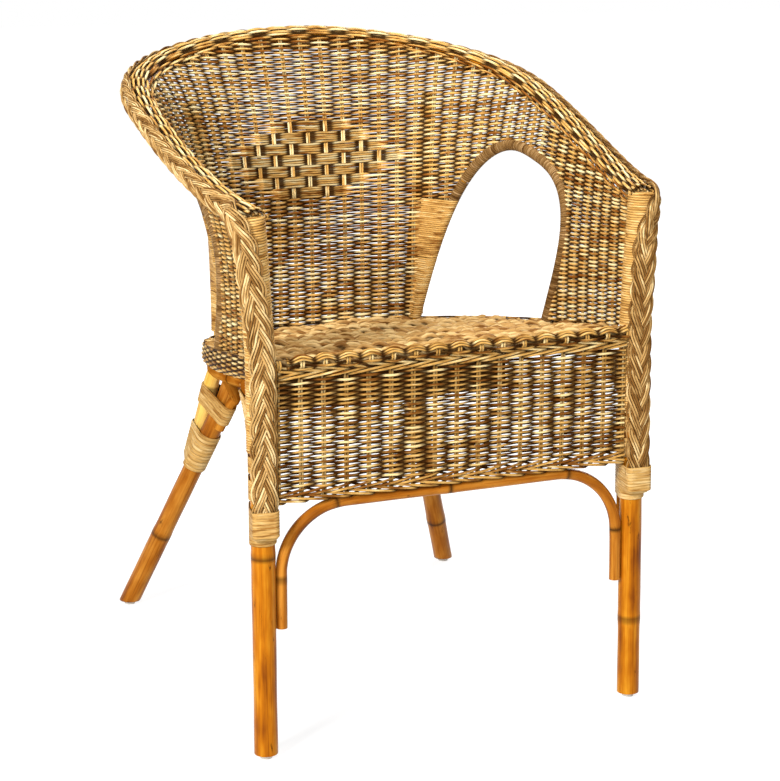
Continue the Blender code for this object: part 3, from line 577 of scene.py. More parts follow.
# Bows: thin canes bent cold into arches, one across the front under the apron and one along each side.
# Their ends are bound and nailed to the legs, and they stop the legs from spreading.
# The side bows are hardly varnished, because they lie out of sight under the seat.
BOW_R = 0.0065
APRON_FOOT_Z = SEAT_FRONT_Z - 0.156
BOW_FOOT_Z = APRON_FOOT_Z - 0.140
BOW_TOP_Z = APRON_FOOT_Z - GAP - BOW_R
BOW_CORNER = 0.074
SIDE_BOW_CORNER = 0.050
matt = pole_material("matt pole", umber_tones, umber_scar, 0.0)
turn = np.linspace(0, np.pi / 2, 24)
heights = np.append(BOW_FOOT_Z, BOW_TOP_Z - BOW_CORNER * (1 - np.sin(turn)))
inward = np.append(0, BOW_CORNER * (1 - np.cos(turn)))
right = front_leg_at(1, heights)
right[:, 0] -= FRONT_LEG_R + GAP + BOW_R + inward
path = [*(right * (-1, 1, 1)), *right[::-1]]
line = pole(path, BOW_R * CANE_FIT, 0.9, (0.09, 0.27, 0.49, 0.73, 0.9))
rattan_piece("front_bow_cane", "front_bow", line, umber, 16)


def side_bow_path(side):
    """Up behind the front leg, round a corner, along under the seat hoop and down before the rear leg."""
    below = HOOP_BELOW + SEAT_HOOP_R + GAP + BOW_R
    behind = np.array((0, FRONT_LEG_R + GAP * 2 + BOW_R, 0))
    knee = front_leg_at(side, seat_top(0) - below) + behind
    top = seat_top(knee[1] + SIDE_BOW_CORNER) - below
    path = [front_leg_at(side, z) + behind for z in (BOW_FOOT_Z, (BOW_FOOT_Z + top) / 2)]
    run = seat_edge(side * np.linspace(0.86, 0.355, 8), HOOP_IN, below)
    for turn in np.linspace(0, np.pi / 2, 14):
        place = front_leg_at(side, top - SIDE_BOW_CORNER * (1 - math.sin(turn))) + behind
        place[0] += (run[0, 0] - place[0]) * (1 - math.cos(turn)) ** 2 * 0.8
        place[1] += SIDE_BOW_CORNER * (1 - math.cos(turn))
        path.append(place)
    low, high = BOW_END_Z
    beside = beside_leg(side, (0, -1, 0), BOW_R)
    down = [rear_leg_at(side, z) + beside for z in (high + BOW_R * 2, high, low, low - BOW_R)]
    return [*path, *through([*run, *down], 6)]


for name, side in SIDES.items():
    line = pole(side_bow_path(side), BOW_R * CANE_FIT, 0.3 + 0.4 * (side > 0), (0.14, 0.5, 0.82))
    rattan_piece(f"side_bow_cane_{name}", f"side_bow_{name}", line, matt, 16)

# Cane bindings: split cane with its shiny skin outside, wound wet round the poles and tucked under itself.
# The wide ones on the front legs also hold the end of each plait.
CANE_T = 0.0016
STRIP_FLAT = 0.42
BRAID_W = 0.026
BRAID_T = 0.009
BRAID_FOOT_Z = APRON_FOOT_Z - 0.023
BRAID_TURN = math.radians(10)
BRAID_OFF = FRONT_LEG_R + GAP + 0.0025 + GAP + BRAID_T / 2
TAPER = 0.006
UPRIGHT = (0, 0, 1)
BOW_BINDINGS = (("lower", 0.0055, 0.0305, 6, 0.63), ("upper", 0.0335, 0.0545, 5, 0.33))


def reed_group():
    """Reed and cane: three tones mixed by the strand and by blotches along it, with darker flecks."""
    group, given, result = colour_group("reed colour")
    blotch = grain_tree(group, (260, 90, 34), 3, 0.6)
    fibre = grain_tree(group, (900, 900, 60), 2, 0.5)
    spread = math_tree(group, "MULTIPLY", math_tree(group, "SUBTRACT", blotch, 0.5), 2.1)
    share = math_tree(group, "MULTIPLY", attribute_tree(group, "tone", "Fac"), 0.62)
    value = math_tree(group, "ADD", math_tree(group, "ADD", share, 0.19), spread)
    colour = tone_tree(group, value, "SMOOTHSTEP", ((0.10, 0.50), (0.50, 0.90)), given)
    flecks = ramp_tree(group, fibre, (0.28, (0.5, 0.42, 0.34)), (0.45, (1, 1, 1)))
    colour = mix_tree(group, "MULTIPLY", 0.6, colour, flecks)
    fill(group, result, {"Color": colour, "Relief": fibre})
    return group


reed_colour = reed_group()


def reed_material(name, tones, roughness=0.45):
    finish = {"Roughness": roughness, "Specular IOR Level": 0.03, "Specular Tint": (1, 0.75, 0.45)}
    # The painted shade colour that the reeds darken towards at their crossings, dips and far sides.
    shade = (0.026, 0.0075, 0.0012)
    return cane_material(name, reed_colour, tones, shade, finish, {"Strength": 0.3, "Distance": 0.0003})


cane = reed_material("split cane", ((0.30, 0.135, 0.028), (0.55, 0.32, 0.098), (0.72, 0.50, 0.22)), 0.38)


def strand(points, out, thick, tone, shade):
    """A line for a wound strand, with painted shade on its sides where it faces the next turns."""
    return {"points": points, "outs": out, "radius": thick, "tone": tone, "lean": out, "shade": shade}


def wound(at, along, turns, thick, tone, per_turn=28, flat=1.0, shade=0.95):
    """A line for a strand wound round a bundle of poles.

    The function at gives, for shares of the way from end to end, the poles' centres and radii.
    """
    along = unit(np.array(along, float))
    level = unit(np.array((0.0, -1.0, 0.0)) - along * -along[1])
    third = np.cross(along, level)
    count = round(turns * per_turn)
    angle = 2 * np.pi * np.arange(count + 1) / per_turn + tone * 6
    out = level * np.cos(angle)[:, None] + third * np.sin(angle)[:, None]
    centres, radii = at(np.linspace(0, 1, count + 1))
    support = np.sum(centres * out, axis=-1) + np.asarray(radii)[:, None]
    best = np.argmax(support, axis=0)
    picked = centres[best, np.arange(count + 1)]
    reach = (np.asarray(radii)[best] + thick * flat + GAP) / math.cos(np.pi / per_turn)
    return strand(picked + out * reach[:, None], out, thick, tone, shade)


def binding(name, node, at, along, turns, thick, tone, per_turn=32):
    """A piece of flat cane wound round a bundle of poles, in place of the node."""
    line = wound(at, along, turns, thick, tone, per_turn, STRIP_FLAT)
    bars(name, [line], cane, 8, [node], STRIP_FLAT)


def braid_facing(side, more=0.0):
    """The direction that the plait faces on a front post, turned so much more to the outside."""
    turn = (BRAID_TURN if side < 0 else -BRAID_TURN / 2) + more
    return np.array((side * math.sin(turn), -math.cos(turn), 0))


def leg_bundle(side, low, high, with_braid):
    """Front leg and side bow between two heights, and the rounded edges of the plait in front of them."""

    def at(share):
        axis = front_leg_at(side, low + (high - low) * share)
        centres = [axis, axis + (0, FRONT_LEG_R + GAP * 2 + BOW_R, 0)]
        radii = [FRONT_LEG_R, BOW_R]
        if with_braid:
            facing = braid_facing(side)
            across = np.array((-facing[1], facing[0], 0)) * (BRAID_W - BRAID_T) / 2
            held = np.clip((axis[:, 2:] - low) / (BRAID_FOOT_Z - TAPER - low), 0, 1)
            for way in (across, -across):
                centres.append(axis + (facing * BRAID_OFF + way) * held)
                radii.append(BRAID_T / 2)
        return np.array(centres), radii

    return at


def rear_bundle(side, heights, with_bow):
    """Rear leg and back post between two heights, and the end of the side bow."""
    along = rear_leg_along(side)
    touch, at_seat = post_foot(side)
    climb = (at_seat - touch) / ((at_seat - touch) @ along)

    def at(share):
        axis = rear_leg_at(side, heights[0] + (heights[1] - heights[0]) * share)
        post = touch + climb * ((axis - touch) @ along)[:, None]
        if with_bow:
            centres = [axis, post, axis + beside_leg(side, (0, -1, 0), BOW_R)]
            return np.array(centres), [REAR_LEG_R, POST_R, BOW_R]
        tip = (POST_TIP_Z - POST_R - TAPER - heights[0]) / (heights[1] - heights[0])
        held = np.clip(share / tip, 0, 1)[:, None]
        return np.array([axis, axis + (post - axis) * held]), [REAR_LEG_R, POST_R * 1.04]

    return at


for name, side in SIDES.items():
    for which, low, high, turns, tone in BOW_BINDINGS:
        bundle = leg_bundle(side, APRON_FOOT_Z + low + CANE_T, APRON_FOOT_Z + high - CANE_T, False)
        node = f"bow_binding_{which}_{name}"
        binding(f"bow_cane_{which}_{name}", node, bundle, UPRIGHT, turns, 0.0020, tone)
    bundle = leg_bundle(side, APRON_FOOT_Z - 0.043, APRON_FOOT_Z - 0.0022, True)
    binding(f"leg_cane_{name}", f"leg_binding_{name}", bundle, UPRIGHT, 13, 0.0017, 0.52 + 0.1 * side, 40)
    along = rear_leg_along(side)
    bundle = rear_bundle(side, (REAR_BINDING_Z[0] + CANE_T, REAR_BINDING_Z[1] - CANE_T), False)
    binding(f"rear_leg_cane_{name}", f"rear_leg_binding_{name}", bundle, along, 11, 0.0024, 0.6)
    bundle = rear_bundle(side, (BOW_END_Z[0] + CANE_T, BOW_END_Z[1] - CANE_T), True)
    binding(f"bow_end_cane_{name}", f"bow_end_binding_{name}", bundle, along, 6, 0.0022, 0.45)

# Arm hoops: thin canes bent round the arm openings, their feet in the seat, wound all along with fine cane.
# The rows of the weave beside an opening end behind this winding.
ARM_HOOP_R = 0.00425
HOLE_REAR = 0.245
HOLE_FRONT = 0.657
HOLE_TOP = 0.77
HOLE_MIDDLE = (HOLE_REAR + HOLE_FRONT) / 2
HOLE_REACH = (HOLE_FRONT - HOLE_REAR) / 2
HOLE_SQUARENESS = 2.85
HOLE_SKEW = 0.130
COIL_PITCH = 0.0027
COIL_R = 0.00138
COIL_FLAT = 0.75
HOOP_LENGTHS = 6
hoop_tones = ((0.075, 0.029, 0.006), (0.225, 0.118, 0.037), (0.41, 0.25, 0.108))
hoop_cane = reed_material("hoop cane", hoop_tones)


def hole_edge(height, front):
    """The share at which an arm hoop stands at a height, at its rear or its front."""
    rise = np.clip(np.asarray(height, float) / HOLE_TOP, 0, 1)
    across = np.maximum(1 - rise**HOLE_SQUARENESS, 0) ** (1 / HOLE_SQUARENESS)
    return HOLE_MIDDLE + (HOLE_REACH if front else -HOLE_REACH) * across + HOLE_SKEW * rise


def hoop_path(side, count):
    turn = np.linspace(0, np.pi, count)
    across = np.sign(np.cos(turn)) * np.abs(np.cos(turn)) ** (2 / HOLE_SQUARENESS)
    rise = np.maximum(np.sin(turn), 0) ** (2 / HOLE_SQUARENESS)
    return wall(side * (HOLE_MIDDLE + HOLE_REACH * across + HOLE_SKEW * rise), HOLE_TOP * rise)


def evenly(points, count):
    """The same line with its points spaced evenly."""
    run = distances(points)
    return sampled(points, np.linspace(0, run[-1], count), run)


def coil(points, radius, thick, tone, per_turn, flat=1.0, shade=0.8):
    """A line for a strand wound closely round one bent pole."""
    centres = evenly(points, round(distances(points)[-1] / COIL_PITCH * per_turn) + 1)
    along = unit(np.gradient(centres, axis=0))
    side = unit(np.cross(along, (0.13, 0.31, 0.02) + 0 * along))
    third = np.cross(along, side)
    angle = 2 * np.pi * np.arange(len(centres)) / per_turn
    out = side * np.cos(angle)[:, None] + third * np.sin(angle)[:, None]
    reach = (radius + thick * flat + GAP) / math.cos(np.pi / per_turn)
    return strand(centres + out * reach, out, thick, tone, shade)


rng = np.random.default_rng(7)
for name, side in SIDES.items():
    path = hoop_path(side, 400)
    sunk = np.array((0, 0, SEAT_T - GAP))
    line = pole([path[0] - sunk, *path, path[-1] - sunk], ARM_HOOP_R * CANE_FIT, 0.4)
    rattan_piece(f"arm_hoop_cane_{name}", f"arm_hoop_{name}", line, honey, 12)
    parts = np.array_split(evenly(path, 301), HOOP_LENGTHS)
    tones = 0.3 + 0.4 * rng.random(HOOP_LENGTHS)
    lines = [coil(part, ARM_HOOP_R, COIL_R, tone, 12, COIL_FLAT) for part, tone in zip(parts, tones)]
    nodes = [f"arm_hoop_winding_{name}"]
    bars(f"arm_hoop_coil_{name}", lines, hoop_cane, 6, nodes, COIL_FLAT)

# Weave of the tub: pairs of round stakes from the seat hoop or an arm hoop up to the rim pole, and single
# round reeds that go over one pair and under the next, row on row, beaten down close.
# In the diamond of the back five rows go over and under together.
reed = reed_material("woven reed", ((0.28, 0.096, 0.014), (0.80, 0.45, 0.120), (1.0, 0.82, 0.43)))
INTERVALS = 25
STAKE = 1 / INTERVALS
STAKE_R = 0.0014
STAKE_TOP = 0.985
REED_R = 0.0014
DEPTH = (STAKE_R + REED_R) * 0.78
PER_STAKE = 6
BACK_ROWS = 134
UPPER_FROM = 66
ROW_PITCH = 0.00272
ROW_STRAY = 0.0016
ROW_FALL = 0.55
ROW_FALL_Z = 0.24
DIAMOND_ROW = 74
DIAMOND_HALF = 4
DIAMOND_HOLD = 5
DIAMOND_SWELL = 0.20
BUNDLE = 5
RIM_HOLD = 1.7
COLLAR_ROWS = 4
HOLE_ROOM_REAR = 0.002
HOLE_ROOM_FRONT = 0.003
HOLE_ROOM_TOP = 0.004
SHORTEST = 20


def woven(name, lines, look, nodes=()):
    """A piece of woven reeds."""
    bars(name, lines, look, 6, nodes)


def stake_line(index, start, shift):
    """A line for one reed of a pair, so far along the rim from the middle of the pair."""
    share = index * STAKE
    heights = np.linspace(start, STAKE_TOP, max(round((1 - start) * 50), 8))
    points = wall(share, heights)
    across = unit(wall(share + 0.004, heights[-1]) - wall(share - 0.004, heights[-1]))
    row = (points[:, 2] + across[2] * shift - wall(share, 0)[2]) / ROW_PITCH
    shown = abs(index) <= diamond_reach(row)
    tone = 0.55 + 0.45 * rng.random()
    # Outside the diamond the stakes are painted dark, as the shade of the rows that cover them.
    scars_and_shade = np.where(shown, 0.0, 0.6)
    return {"points": points + across * shift, "radius": STAKE_R, "tone": tone, "scars_and_shade": scars_and_shade}


def diamond_reach(row):
    """How many stakes the diamond reaches from the middle at a row, or -1 above and below it."""
    group = np.abs(np.floor((row - DIAMOND_ROW) / BUNDLE))
    return np.where(group < DIAMOND_HALF, DIAMOND_HALF + 1 - group, -1)


def over(row, index):
    """Whether a row passes inside or outside a stake: 1 or -1."""
    if abs(index) <= diamond_reach(row):
        row = (row - DIAMOND_ROW) // BUNDLE
    return 1 if (row + index) % 2 == 0 else -1


def swing(row, share):
    """How far a row is from the middle of the weave, out of the tub, in depths."""
    place = share / STAKE
    first = np.floor(place).astype(int)
    part = (1 - np.cos(np.pi * (place - first))) / 2
    signs = {i: over(row, i) for i in range(first.min(), first.max() + 2)}
    before = np.array([signs[i] for i in first])
    after = np.array([signs[i + 1] for i in first])
    return before * (1 - part) + after * part


def row_shares(start, end):
    """The shares at which a row has points: evenly between the stakes, and at its two ends."""
    first, last = math.ceil(start / STAKE * PER_STAKE), math.floor(end / STAKE * PER_STAKE)
    grid = np.arange(first, last + 1) * STAKE / PER_STAKE
    grid = grid[(grid > start + 0.002) & (grid < end - 0.002)]
    return np.concatenate([[start], grid, [end]])


def stray(share):
    """A slow random wander along a row, about one at most."""
    phases = rng.random(3) * 2 * np.pi
    return sum(np.sin(share * rate + phase) for rate, phase in zip((17, 41, 83), phases)) / 3


def reed_line(points, radius=REED_R, lean=0.0, scars_and_shade=0.0, shade=1.4):
    """A line for one reed, with painted shade: a darkness given for each point, and more by its shade on the
    sides away from its lean.
    """
    made = {"points": points, "radius": radius * (0.95 + 0.1 * rng.random()), "tone": rng.random()}
    return {**made, "lean": lean, "scars_and_shade": scars_and_shade, "shade": shade}


def retoned(line, start, share=1.0):
    """The same reed with a share of its own tone, added to another start."""
    return {**line, "tone": start + share * line["tone"]}


def dive_shade(amount, dark=0.95):
    """How much painted shade a reed gets where it dives between two stakes, from its swing."""
    return dark * (1 - np.abs(amount)) ** 1.5


def held_in(amount, power):
    """The swing of a reed that keeps inside for most of its way, and dives out only close to a stake."""
    return 2 * ((1 + amount) / 2) ** power - 1


def beaten(share, height):
    """The reeds' radius over the tub: the rows are beaten closer in some places than in others."""
    wave = np.sin(9 * share + 5 * height + 1) + np.sin(-6 * share + 11 * height + 2.2)
    return REED_R * (1.05 + 0.06 * (wave + np.sin(21 * share - 8 * height)))


def tub_row(row, share, height):
    """A line for one row of the tub, through these heights."""
    height = np.clip(height + ROW_STRAY * stray(share), 0, 1)
    collared = row >= BACK_ROWS
    figured = np.abs(share) < diamond_reach(row) * STAKE
    amount = swing(row, share)
    plain = held_in(amount, RIM_HOLD) if collared else amount
    amount = np.where(figured, held_in(amount, DIAMOND_HOLD), plain)
    points = off_wall(share, height, DEPTH * (1.2 if collared else 1) * amount)
    radius = beaten(share, height) * (1 + DIAMOND_SWELL * figured)
    lean = wall_out(share, height) * amount[:, None]
    # Painted shade: the reeds darken where they dive, and in the diamond they are painted dark on their
    # sides, front and back staying pale.
    scars_and_shade = np.where(figured, 1.10 + dive_shade(amount, 0.3), dive_shade(amount))
    return {**reed_line(points, radius, lean, scars_and_shade), "both": 1.0 * figured}


def stretches(held):
    """The shares of each stretch of the spread that is held, unless it is too short."""
    ends = np.flatnonzero(np.diff(held.astype(int))) + 1
    runs = np.split(np.arange(len(held)), ends)
    kept = [run for run in runs if held[run[0]] and len(run) >= SHORTEST]
    return [row_shares(spread[run[0]], spread[run[-1]]) for run in kept]


indices = np.arange(-INTERVALS + 1, INTERVALS)
starts = []
for index in indices:
    heights = np.linspace(0, HOLE_TOP, 300)
    share = abs(index) * STAKE
    inside = (hole_edge(heights, False) < share) & (share < hole_edge(heights, True))
    starts.append(heights[inside].max() if inside.any() else 0.0)
stakes = [stake_line(i, start, shift) for shift in (STAKE_R, -STAKE_R) for i, start in zip(indices, starts)]
woven("tub_stakes", stakes, reed)

# Rows run parallel to the seat, fall towards the front of the arms, and end at a collar that follows the rim
spread = np.linspace(-0.985, 0.985, 1601)
rise = wall(spread, 1)[:, 2] - wall(spread, 0)[:, 2]
collar = np.interp(np.abs(spread), (0.12, 0.28, 0.985), (0.006, 0.011, 0.011))
fall = np.maximum(np.interp(0.60, spread, rise) - rise, 0)
back_rows, arm_rows, upper_rows = [], {-1: [], 1: []}, []
for row in range(BACK_ROWS):
    above = (row + 0.5) * ROW_PITCH
    above = above - ROW_FALL * min(above / ROW_FALL_Z, 1) ** 1.5 * fall
    height = above / rise
    behind_hole = np.abs(spread) <= hole_edge(height, False) - HOLE_ROOM_REAR
    before_hole = np.abs(spread) >= hole_edge(height, True) + HOLE_ROOM_FRONT
    clear = behind_hole | before_hole | (height >= HOLE_TOP + HOLE_ROOM_TOP)
    for share in stretches((above < rise - collar + ROW_PITCH) & clear):
        line = tub_row(row, share, np.interp(share, spread, height))
        if share[0] < 0 < share[-1]:
            (back_rows if row < UPPER_FROM else upper_rows).append(line)
        else:
            arm_rows[1 if share[0] > 0 else -1].append(line)
for row in range(COLLAR_ROWS):
    below = (row + 0.3) * ROW_PITCH
    for share in stretches(collar > below):
        upper_rows.append(tub_row(BACK_ROWS + row, share, 1 - below / np.interp(share, spread, rise)))

woven("back_rows", back_rows, reed, ["back_weave"])
woven("upper_rows", upper_rows, reed)
for name, side in SIDES.items():
    woven(f"arm_rows_{name}", arm_rows[side], reed, [f"arm_weave_{name}"])

# Roll of the rim: the last rows, woven over the stakes where they turn over the rim pole and down outside.
# They are pressed together, so the scallops over each pair of stakes nest in one another.
ROLL_ROWS = 18
ROLL_UNDER = 1.1
roll_lines = []
for row in range(ROLL_ROWS):
    share = row_shares(-0.995, 0.995)
    start = roll_start(share)
    angle = start + (ROLL_END - ROLL_UNDER - start) * (row + 0.6) / ROLL_ROWS + 0.02 * stray(share)
    amount = held_in(swing(row + BACK_ROWS, share), RIM_HOLD)
    # Painted shade on the sides of the reeds away from their scallops, and where they dive.
    lean = unit(rim_point(share, angle, np.full(len(share), 2.0)) - rim_centre(share)) * -amount[:, None]
    points = rim_point(share, angle, ROLL_R + 0.0004 - DEPTH * 1.15 * amount)
    roll_lines.append(retoned(reed_line(points, REED_R * 1.08, lean, dive_shade(amount, 1.1)), 0.3, 0.6))
woven("rim_roll", roll_lines, reed)

# Sleeves: the side weave goes on round the front posts, and beside each opening round the back post and the
# foot of the arm hoop together. Each is a close winding of the same reed.
sleeve_tones = ((0.26, 0.102, 0.018), (0.66, 0.37, 0.102), (0.88, 0.63, 0.275))
sleeve_reed = reed_material("sleeve reed", sleeve_tones)
SLEEVE_Z = (APRON_FOOT_Z + 0.058, LEG_TOP_Z + 0.011)
SLEEVE_SHADE = 1.6
FRONT_LENGTHS = 5
REAR_LENGTHS = 6
REAR_SLEEVE_TOP = 0.46
REAR_SLEEVE_PITCH = 0.0025
CAP_TURNS = 6


def sleeve_bundle(post, hoop, part):
    """Back post and arm hoop along one of the lengths of reed that make a sleeve."""

    def at(share):
        where = (part + share) / REAR_LENGTHS * (len(hoop) - 1)
        places = [sampled(line, where, np.arange(len(hoop))) for line in (post, hoop)]
        return np.array(places), [POST_R, ARM_HOOP_R]

    return at


for name, side in SIDES.items():
    parts = np.array_split(front_leg_at(side, np.linspace(*SLEEVE_Z, 110)), FRONT_LENGTHS)
    parts = [np.concatenate([part, later[:1]]) for part, later in zip(parts, [*parts[1:], parts[-1][-1:]])]
    tones = 0.48 + 0.25 * rng.random(FRONT_LENGTHS)
    lines = [coil(part, FRONT_LEG_R, REED_R, tone, 16, 1.0, SLEEVE_SHADE) for part, tone in zip(parts, tones)]
    turn = np.linspace(0, CAP_TURNS * 2 * np.pi, 120)
    closing = np.stack([np.cos(turn), np.sin(turn), 0 * turn], 1)
    closing *= (FRONT_LEG_R * (1 - turn / turn[-1]) + 0.001)[:, None]
    # The closing reed has a little painted shade all over, and more on its underside.
    lines.append(reed_line(parts[-1][-1] + closing, REED_R, np.array(UPRIGHT), 0.25, 0.6))
    woven(f"front_post_sleeve_{name}", lines, sleeve_reed)
    heights = np.linspace(0, REAR_SLEEVE_TOP, 60)
    hoop = wall(side * hole_edge(heights, False), heights)
    post = post_path(side)
    post = sampled(post, hoop[:, 2], post[:, 2])
    turns = round((hoop[-1, 2] - hoop[0, 2]) / REAR_SLEEVE_PITCH / REAR_LENGTHS)
    lines = []
    for part in range(REAR_LENGTHS):
        bundle = sleeve_bundle(post, hoop, part)
        tone = 0.3 + 0.4 * rng.random()
        lines.append(wound(bundle, UPRIGHT, turns, REED_R, tone, shade=SLEEVE_SHADE))
    woven(f"back_post_sleeve_{name}", lines, sleeve_reed)

# Skirt: below the seat the side weave goes on in rows over the seat hoop, so the bare hoop is hidden.
# It ends in a web of reed wound round each front leg and the corner of the side bow behind it.
apron_tones = ((0.20, 0.070, 0.011), (0.63, 0.35, 0.090), (0.94, 0.72, 0.34))
apron_reed = reed_material("apron reed", apron_tones)
SKIRT_PARTS = ((-0.925, -0.252), (-0.204, 0.204), (0.252, 0.925))
SKIRT_DEPTH = 0.0012
SKIRT_OUT_BELOW = (
    *((0.0070, 0.0010), (0.0074, 0.0037), (0.0077, 0.0064), (0.0080, 0.0091), (0.0082, 0.0118)),
    *((0.0083, 0.0145), (0.0080, 0.0172), (0.0072, 0.0198), (0.0056, 0.0222), (0.0034, 0.0242)),
    *((0.0010, 0.0257), (-0.0016, 0.0264), (-0.0043, 0.0262), (-0.0069, 0.0250)),
)
WEB_PITCH = 0.0031
WEB_H = 0.036
WEB_LENGTHS = 4
WEB_TOP = 15
skirt = []
for row, (out, below) in enumerate(SKIRT_OUT_BELOW):
    for start, end in SKIRT_PARTS:
        share = row_shares(start, end)
        amount = swing(row + BACK_ROWS, share)
        # Painted shade on the sides of the reeds away from their scallops, and where they dive.
        lean = outward(seat_plan, share) * amount[:, None]
        points = seat_edge(share, out + SKIRT_DEPTH * amount, below)
        skirt.append(reed_line(points, REED_R, lean, dive_shade(amount)))
woven("seat_skirt", skirt, apron_reed)


def web_bundle(side, bow, low, high):
    """Front leg and side bow between two heights, where the bow turns away from the leg."""

    def at(share):
        z = low + (high - low) * share
        return np.array([front_leg_at(side, z), sampled(bow, z, bow[:, 2])]), [FRONT_LEG_R, BOW_R]

    return at


for name, side in SIDES.items():
    bow = np.array(side_bow_path(side)[: WEB_TOP + 1])
    bounds = np.linspace(bow[WEB_TOP, 2] - WEB_H, bow[WEB_TOP, 2] - 0.0006, WEB_LENGTHS + 1)
    lines = []
    for low, high in zip(bounds, bounds[1:]):
        turns = round((high - low) / WEB_PITCH)
        lines.append(wound(web_bundle(side, bow, low, high), UPRIGHT, turns, REED_R, rng.random()))
    woven(f"bow_corner_web_{name}", lines, sleeve_reed)

# Seat: rows of two-strand twine from side to side, packed close over the seat frame.
# A lower course fills the grooves between the rows, and the front ones are turned down behind the apron.
twine_tones = ((0.23, 0.100, 0.026), (0.49, 0.28, 0.092), (0.73, 0.505, 0.22))
twine = reed_material("seat twine", twine_tones, 0.6)
ROPE_PITCH = 0.0090
ROPE_R = 0.0029
ROPE_TWIST = 0.0340
ROPE_POINTS = 9
ROPE_LEAN = np.array((0, -0.5, 0.8))
SEAT_NOSE = 0.012
CORNER_Y = 0.020
CORNER_SHADE = 0.014
LEG_ROOM = 0.003
SIDE_REACH = 0.003
SIDE_FROM_Y = 0.1
LOWER_COURSE = 0.0042
TURNED_Y = 0.0085
TURNED_Z = seat_top(0) - SEAT_T - 0.002
TURNED_H = 0.045
TURNED_FULL_H = 0.012
TURNED_PITCH = 0.0042
edge = seat_edge(np.linspace(0, 1, 400), SEAT_LIP - 0.002, 0)
seat_lines = []
for y in np.arange(-SEAT_NOSE + 0.010, edge[0, 1] - 0.004, ROPE_PITCH):
    half = np.interp(y, edge[::-1, 1], edge[::-1, 0])
    half = half + SIDE_REACH if y > SIDE_FROM_Y else half
    if y < CORNER_Y:
        half = min(half, front_leg_at(1, SEAT_FRONT_Z)[0] - FRONT_LEG_R - LEG_ROOM)
    x = np.linspace(-half, half, round(2 * half / ROPE_TWIST * ROPE_POINTS))
    rough = 0.0008 * stray(x * 3) + 0.0005 * stray(x * 11)
    heave = 0.0060 * stray(x * 0.9) + 0.0015 * stray(x * 4) - 0.0020
    middle = seat_top(y) - ROPE_R * 2 + heave
    phase = rng.random() * 6.3
    for start in (0, np.pi):
        turn = 2 * np.pi * x / ROPE_TWIST + phase + start
        points = np.stack([x, y + ROPE_R * 0.9 * np.cos(turn) + rough, middle + ROPE_R * np.sin(turn)], 1)
        # Painted shade: the rope is darker on its lower turns and where the seat sags, and darker still at
        # the left end of the front rows, as a shadowed hole beside the leg.
        groove_shade = 0.8 * np.clip(0.45 - np.sin(turn), 0, 1) + np.clip(-0.001 - heave, 0, 0.004) * 90
        if y < CORNER_Y:
            groove_shade = np.maximum(groove_shade, np.clip((CORNER_SHADE - half - x) / 0.006, 0, 1))
        seat_lines.append(reed_line(points, ROPE_R, ROPE_LEAN, groove_shade, 0.6))
    # The lower course is painted evenly dark, as the shade in the slits between the rows above it.
    points = np.stack([x, y + ROPE_PITCH / 2 + rough, middle - LOWER_COURSE], 1)
    seat_lines.append(reed_line(points, ROPE_R, scars_and_shade=0.55, shade=0.0))
for z in np.arange(TURNED_Z - TURNED_H, TURNED_Z, TURNED_PITCH):
    half = front_leg_at(1, z)[0] - FRONT_LEG_R - LEG_ROOM
    x = np.linspace(-half, half if z > TURNED_Z - TURNED_FULL_H else half * 0.30, 60)
    points = np.stack([x, TURNED_Y + 0.0010 * stray(x * 8), z + 0.0008 * stray(x * 8)], 1)
    # Painted shade: the turned-down rows behind the apron are darkened.
    seat_lines.append(reed_line(points, ROPE_R, ROPE_LEAN, 0.7, 0.6))
first_rear = len(seat_lines) // 2
woven("seat_twine_front", seat_lines[:first_rear], twine, ["seat_weave"])
woven("seat_twine_rear", seat_lines[first_rear:], twine)

# Apron: stakes turned down from the seat, plain weave between them, and rows of waling at its top and foot.
# The front edge of the seat is a rolled border, three reeds curving over each pair of stakes.
APRON_STAKE = 0.0257
APRON_STAKES = 8
APRON_TOP_Z = seat_top(0) - SEAT_T - GAP * 4
APRON_PITCH = 0.00263
NOSE_Y = -0.004
NOSE_Z = SEAT_FRONT_Z - 0.0062
FRONT = np.array((0, -1, 0))
WALE_R = 0.0015
WALE_RISE = 0.0040
WALE_OVER = 2.2
WALE_UNDER = 0.8
TOP_WALES = ((-0.0035, -1), (-0.0095, 1))
FOOT_WALES = ((0.0035, -1), (0.0100, 1))
ARCH_ANGLES = np.radians((4, 27, 50))
BORDER_ANGLES = np.radians((104, 122))


def apron_swing(row, x):
    """How far a row of the apron is in front of its middle, in depths."""
    place = x / APRON_STAKE
    first = np.floor(place).astype(int)
    part = (1 - np.cos(np.pi * (place - first))) / 2
    return np.where((row + first) % 2 == 0, 1, -1) * (1 - 2 * part)


def apron_reach(z):
    return front_leg_at(1, z)[0] - FRONT_LEG_R - 0.0022


def nose(x, bulge, angle):
    """Points on the rolled front edge of the seat, from straight up at zero over the front."""
    return np.stack([x, NOSE_Y - bulge * np.sin(angle), NOSE_Z + bulge * np.cos(angle)], 1)


lines = []
for index in range(-APRON_STAKES, APRON_STAKES + 1):
    for shift in (-STAKE_R, STAKE_R):
        turn = np.linspace(np.radians(20), np.radians(180), 7)
        heights = np.linspace(APRON_TOP_Z - 0.008, APRON_FOOT_Z + 0.001, 12)
        down = np.stack([0 * heights, APRON_Y + 0 * heights, heights], 1)
        points = np.concatenate([nose(0 * turn, 0.0048, turn), down]) + (index * APRON_STAKE + shift, 0, 0)
        # Painted shade: the stakes are a little darker on the nose and darker down the apron, where they lie
        # behind the rows.
        scars_and_shade = np.append(0.1 + 0 * turn, 0.5 + 0 * heights)
        lines.append({"points": points, "radius": STAKE_R, "tone": 0.3 + 0.7 * rng.random(), "scars_and_shade": scars_and_shade})
woven("apron_stakes", lines, apron_reed)

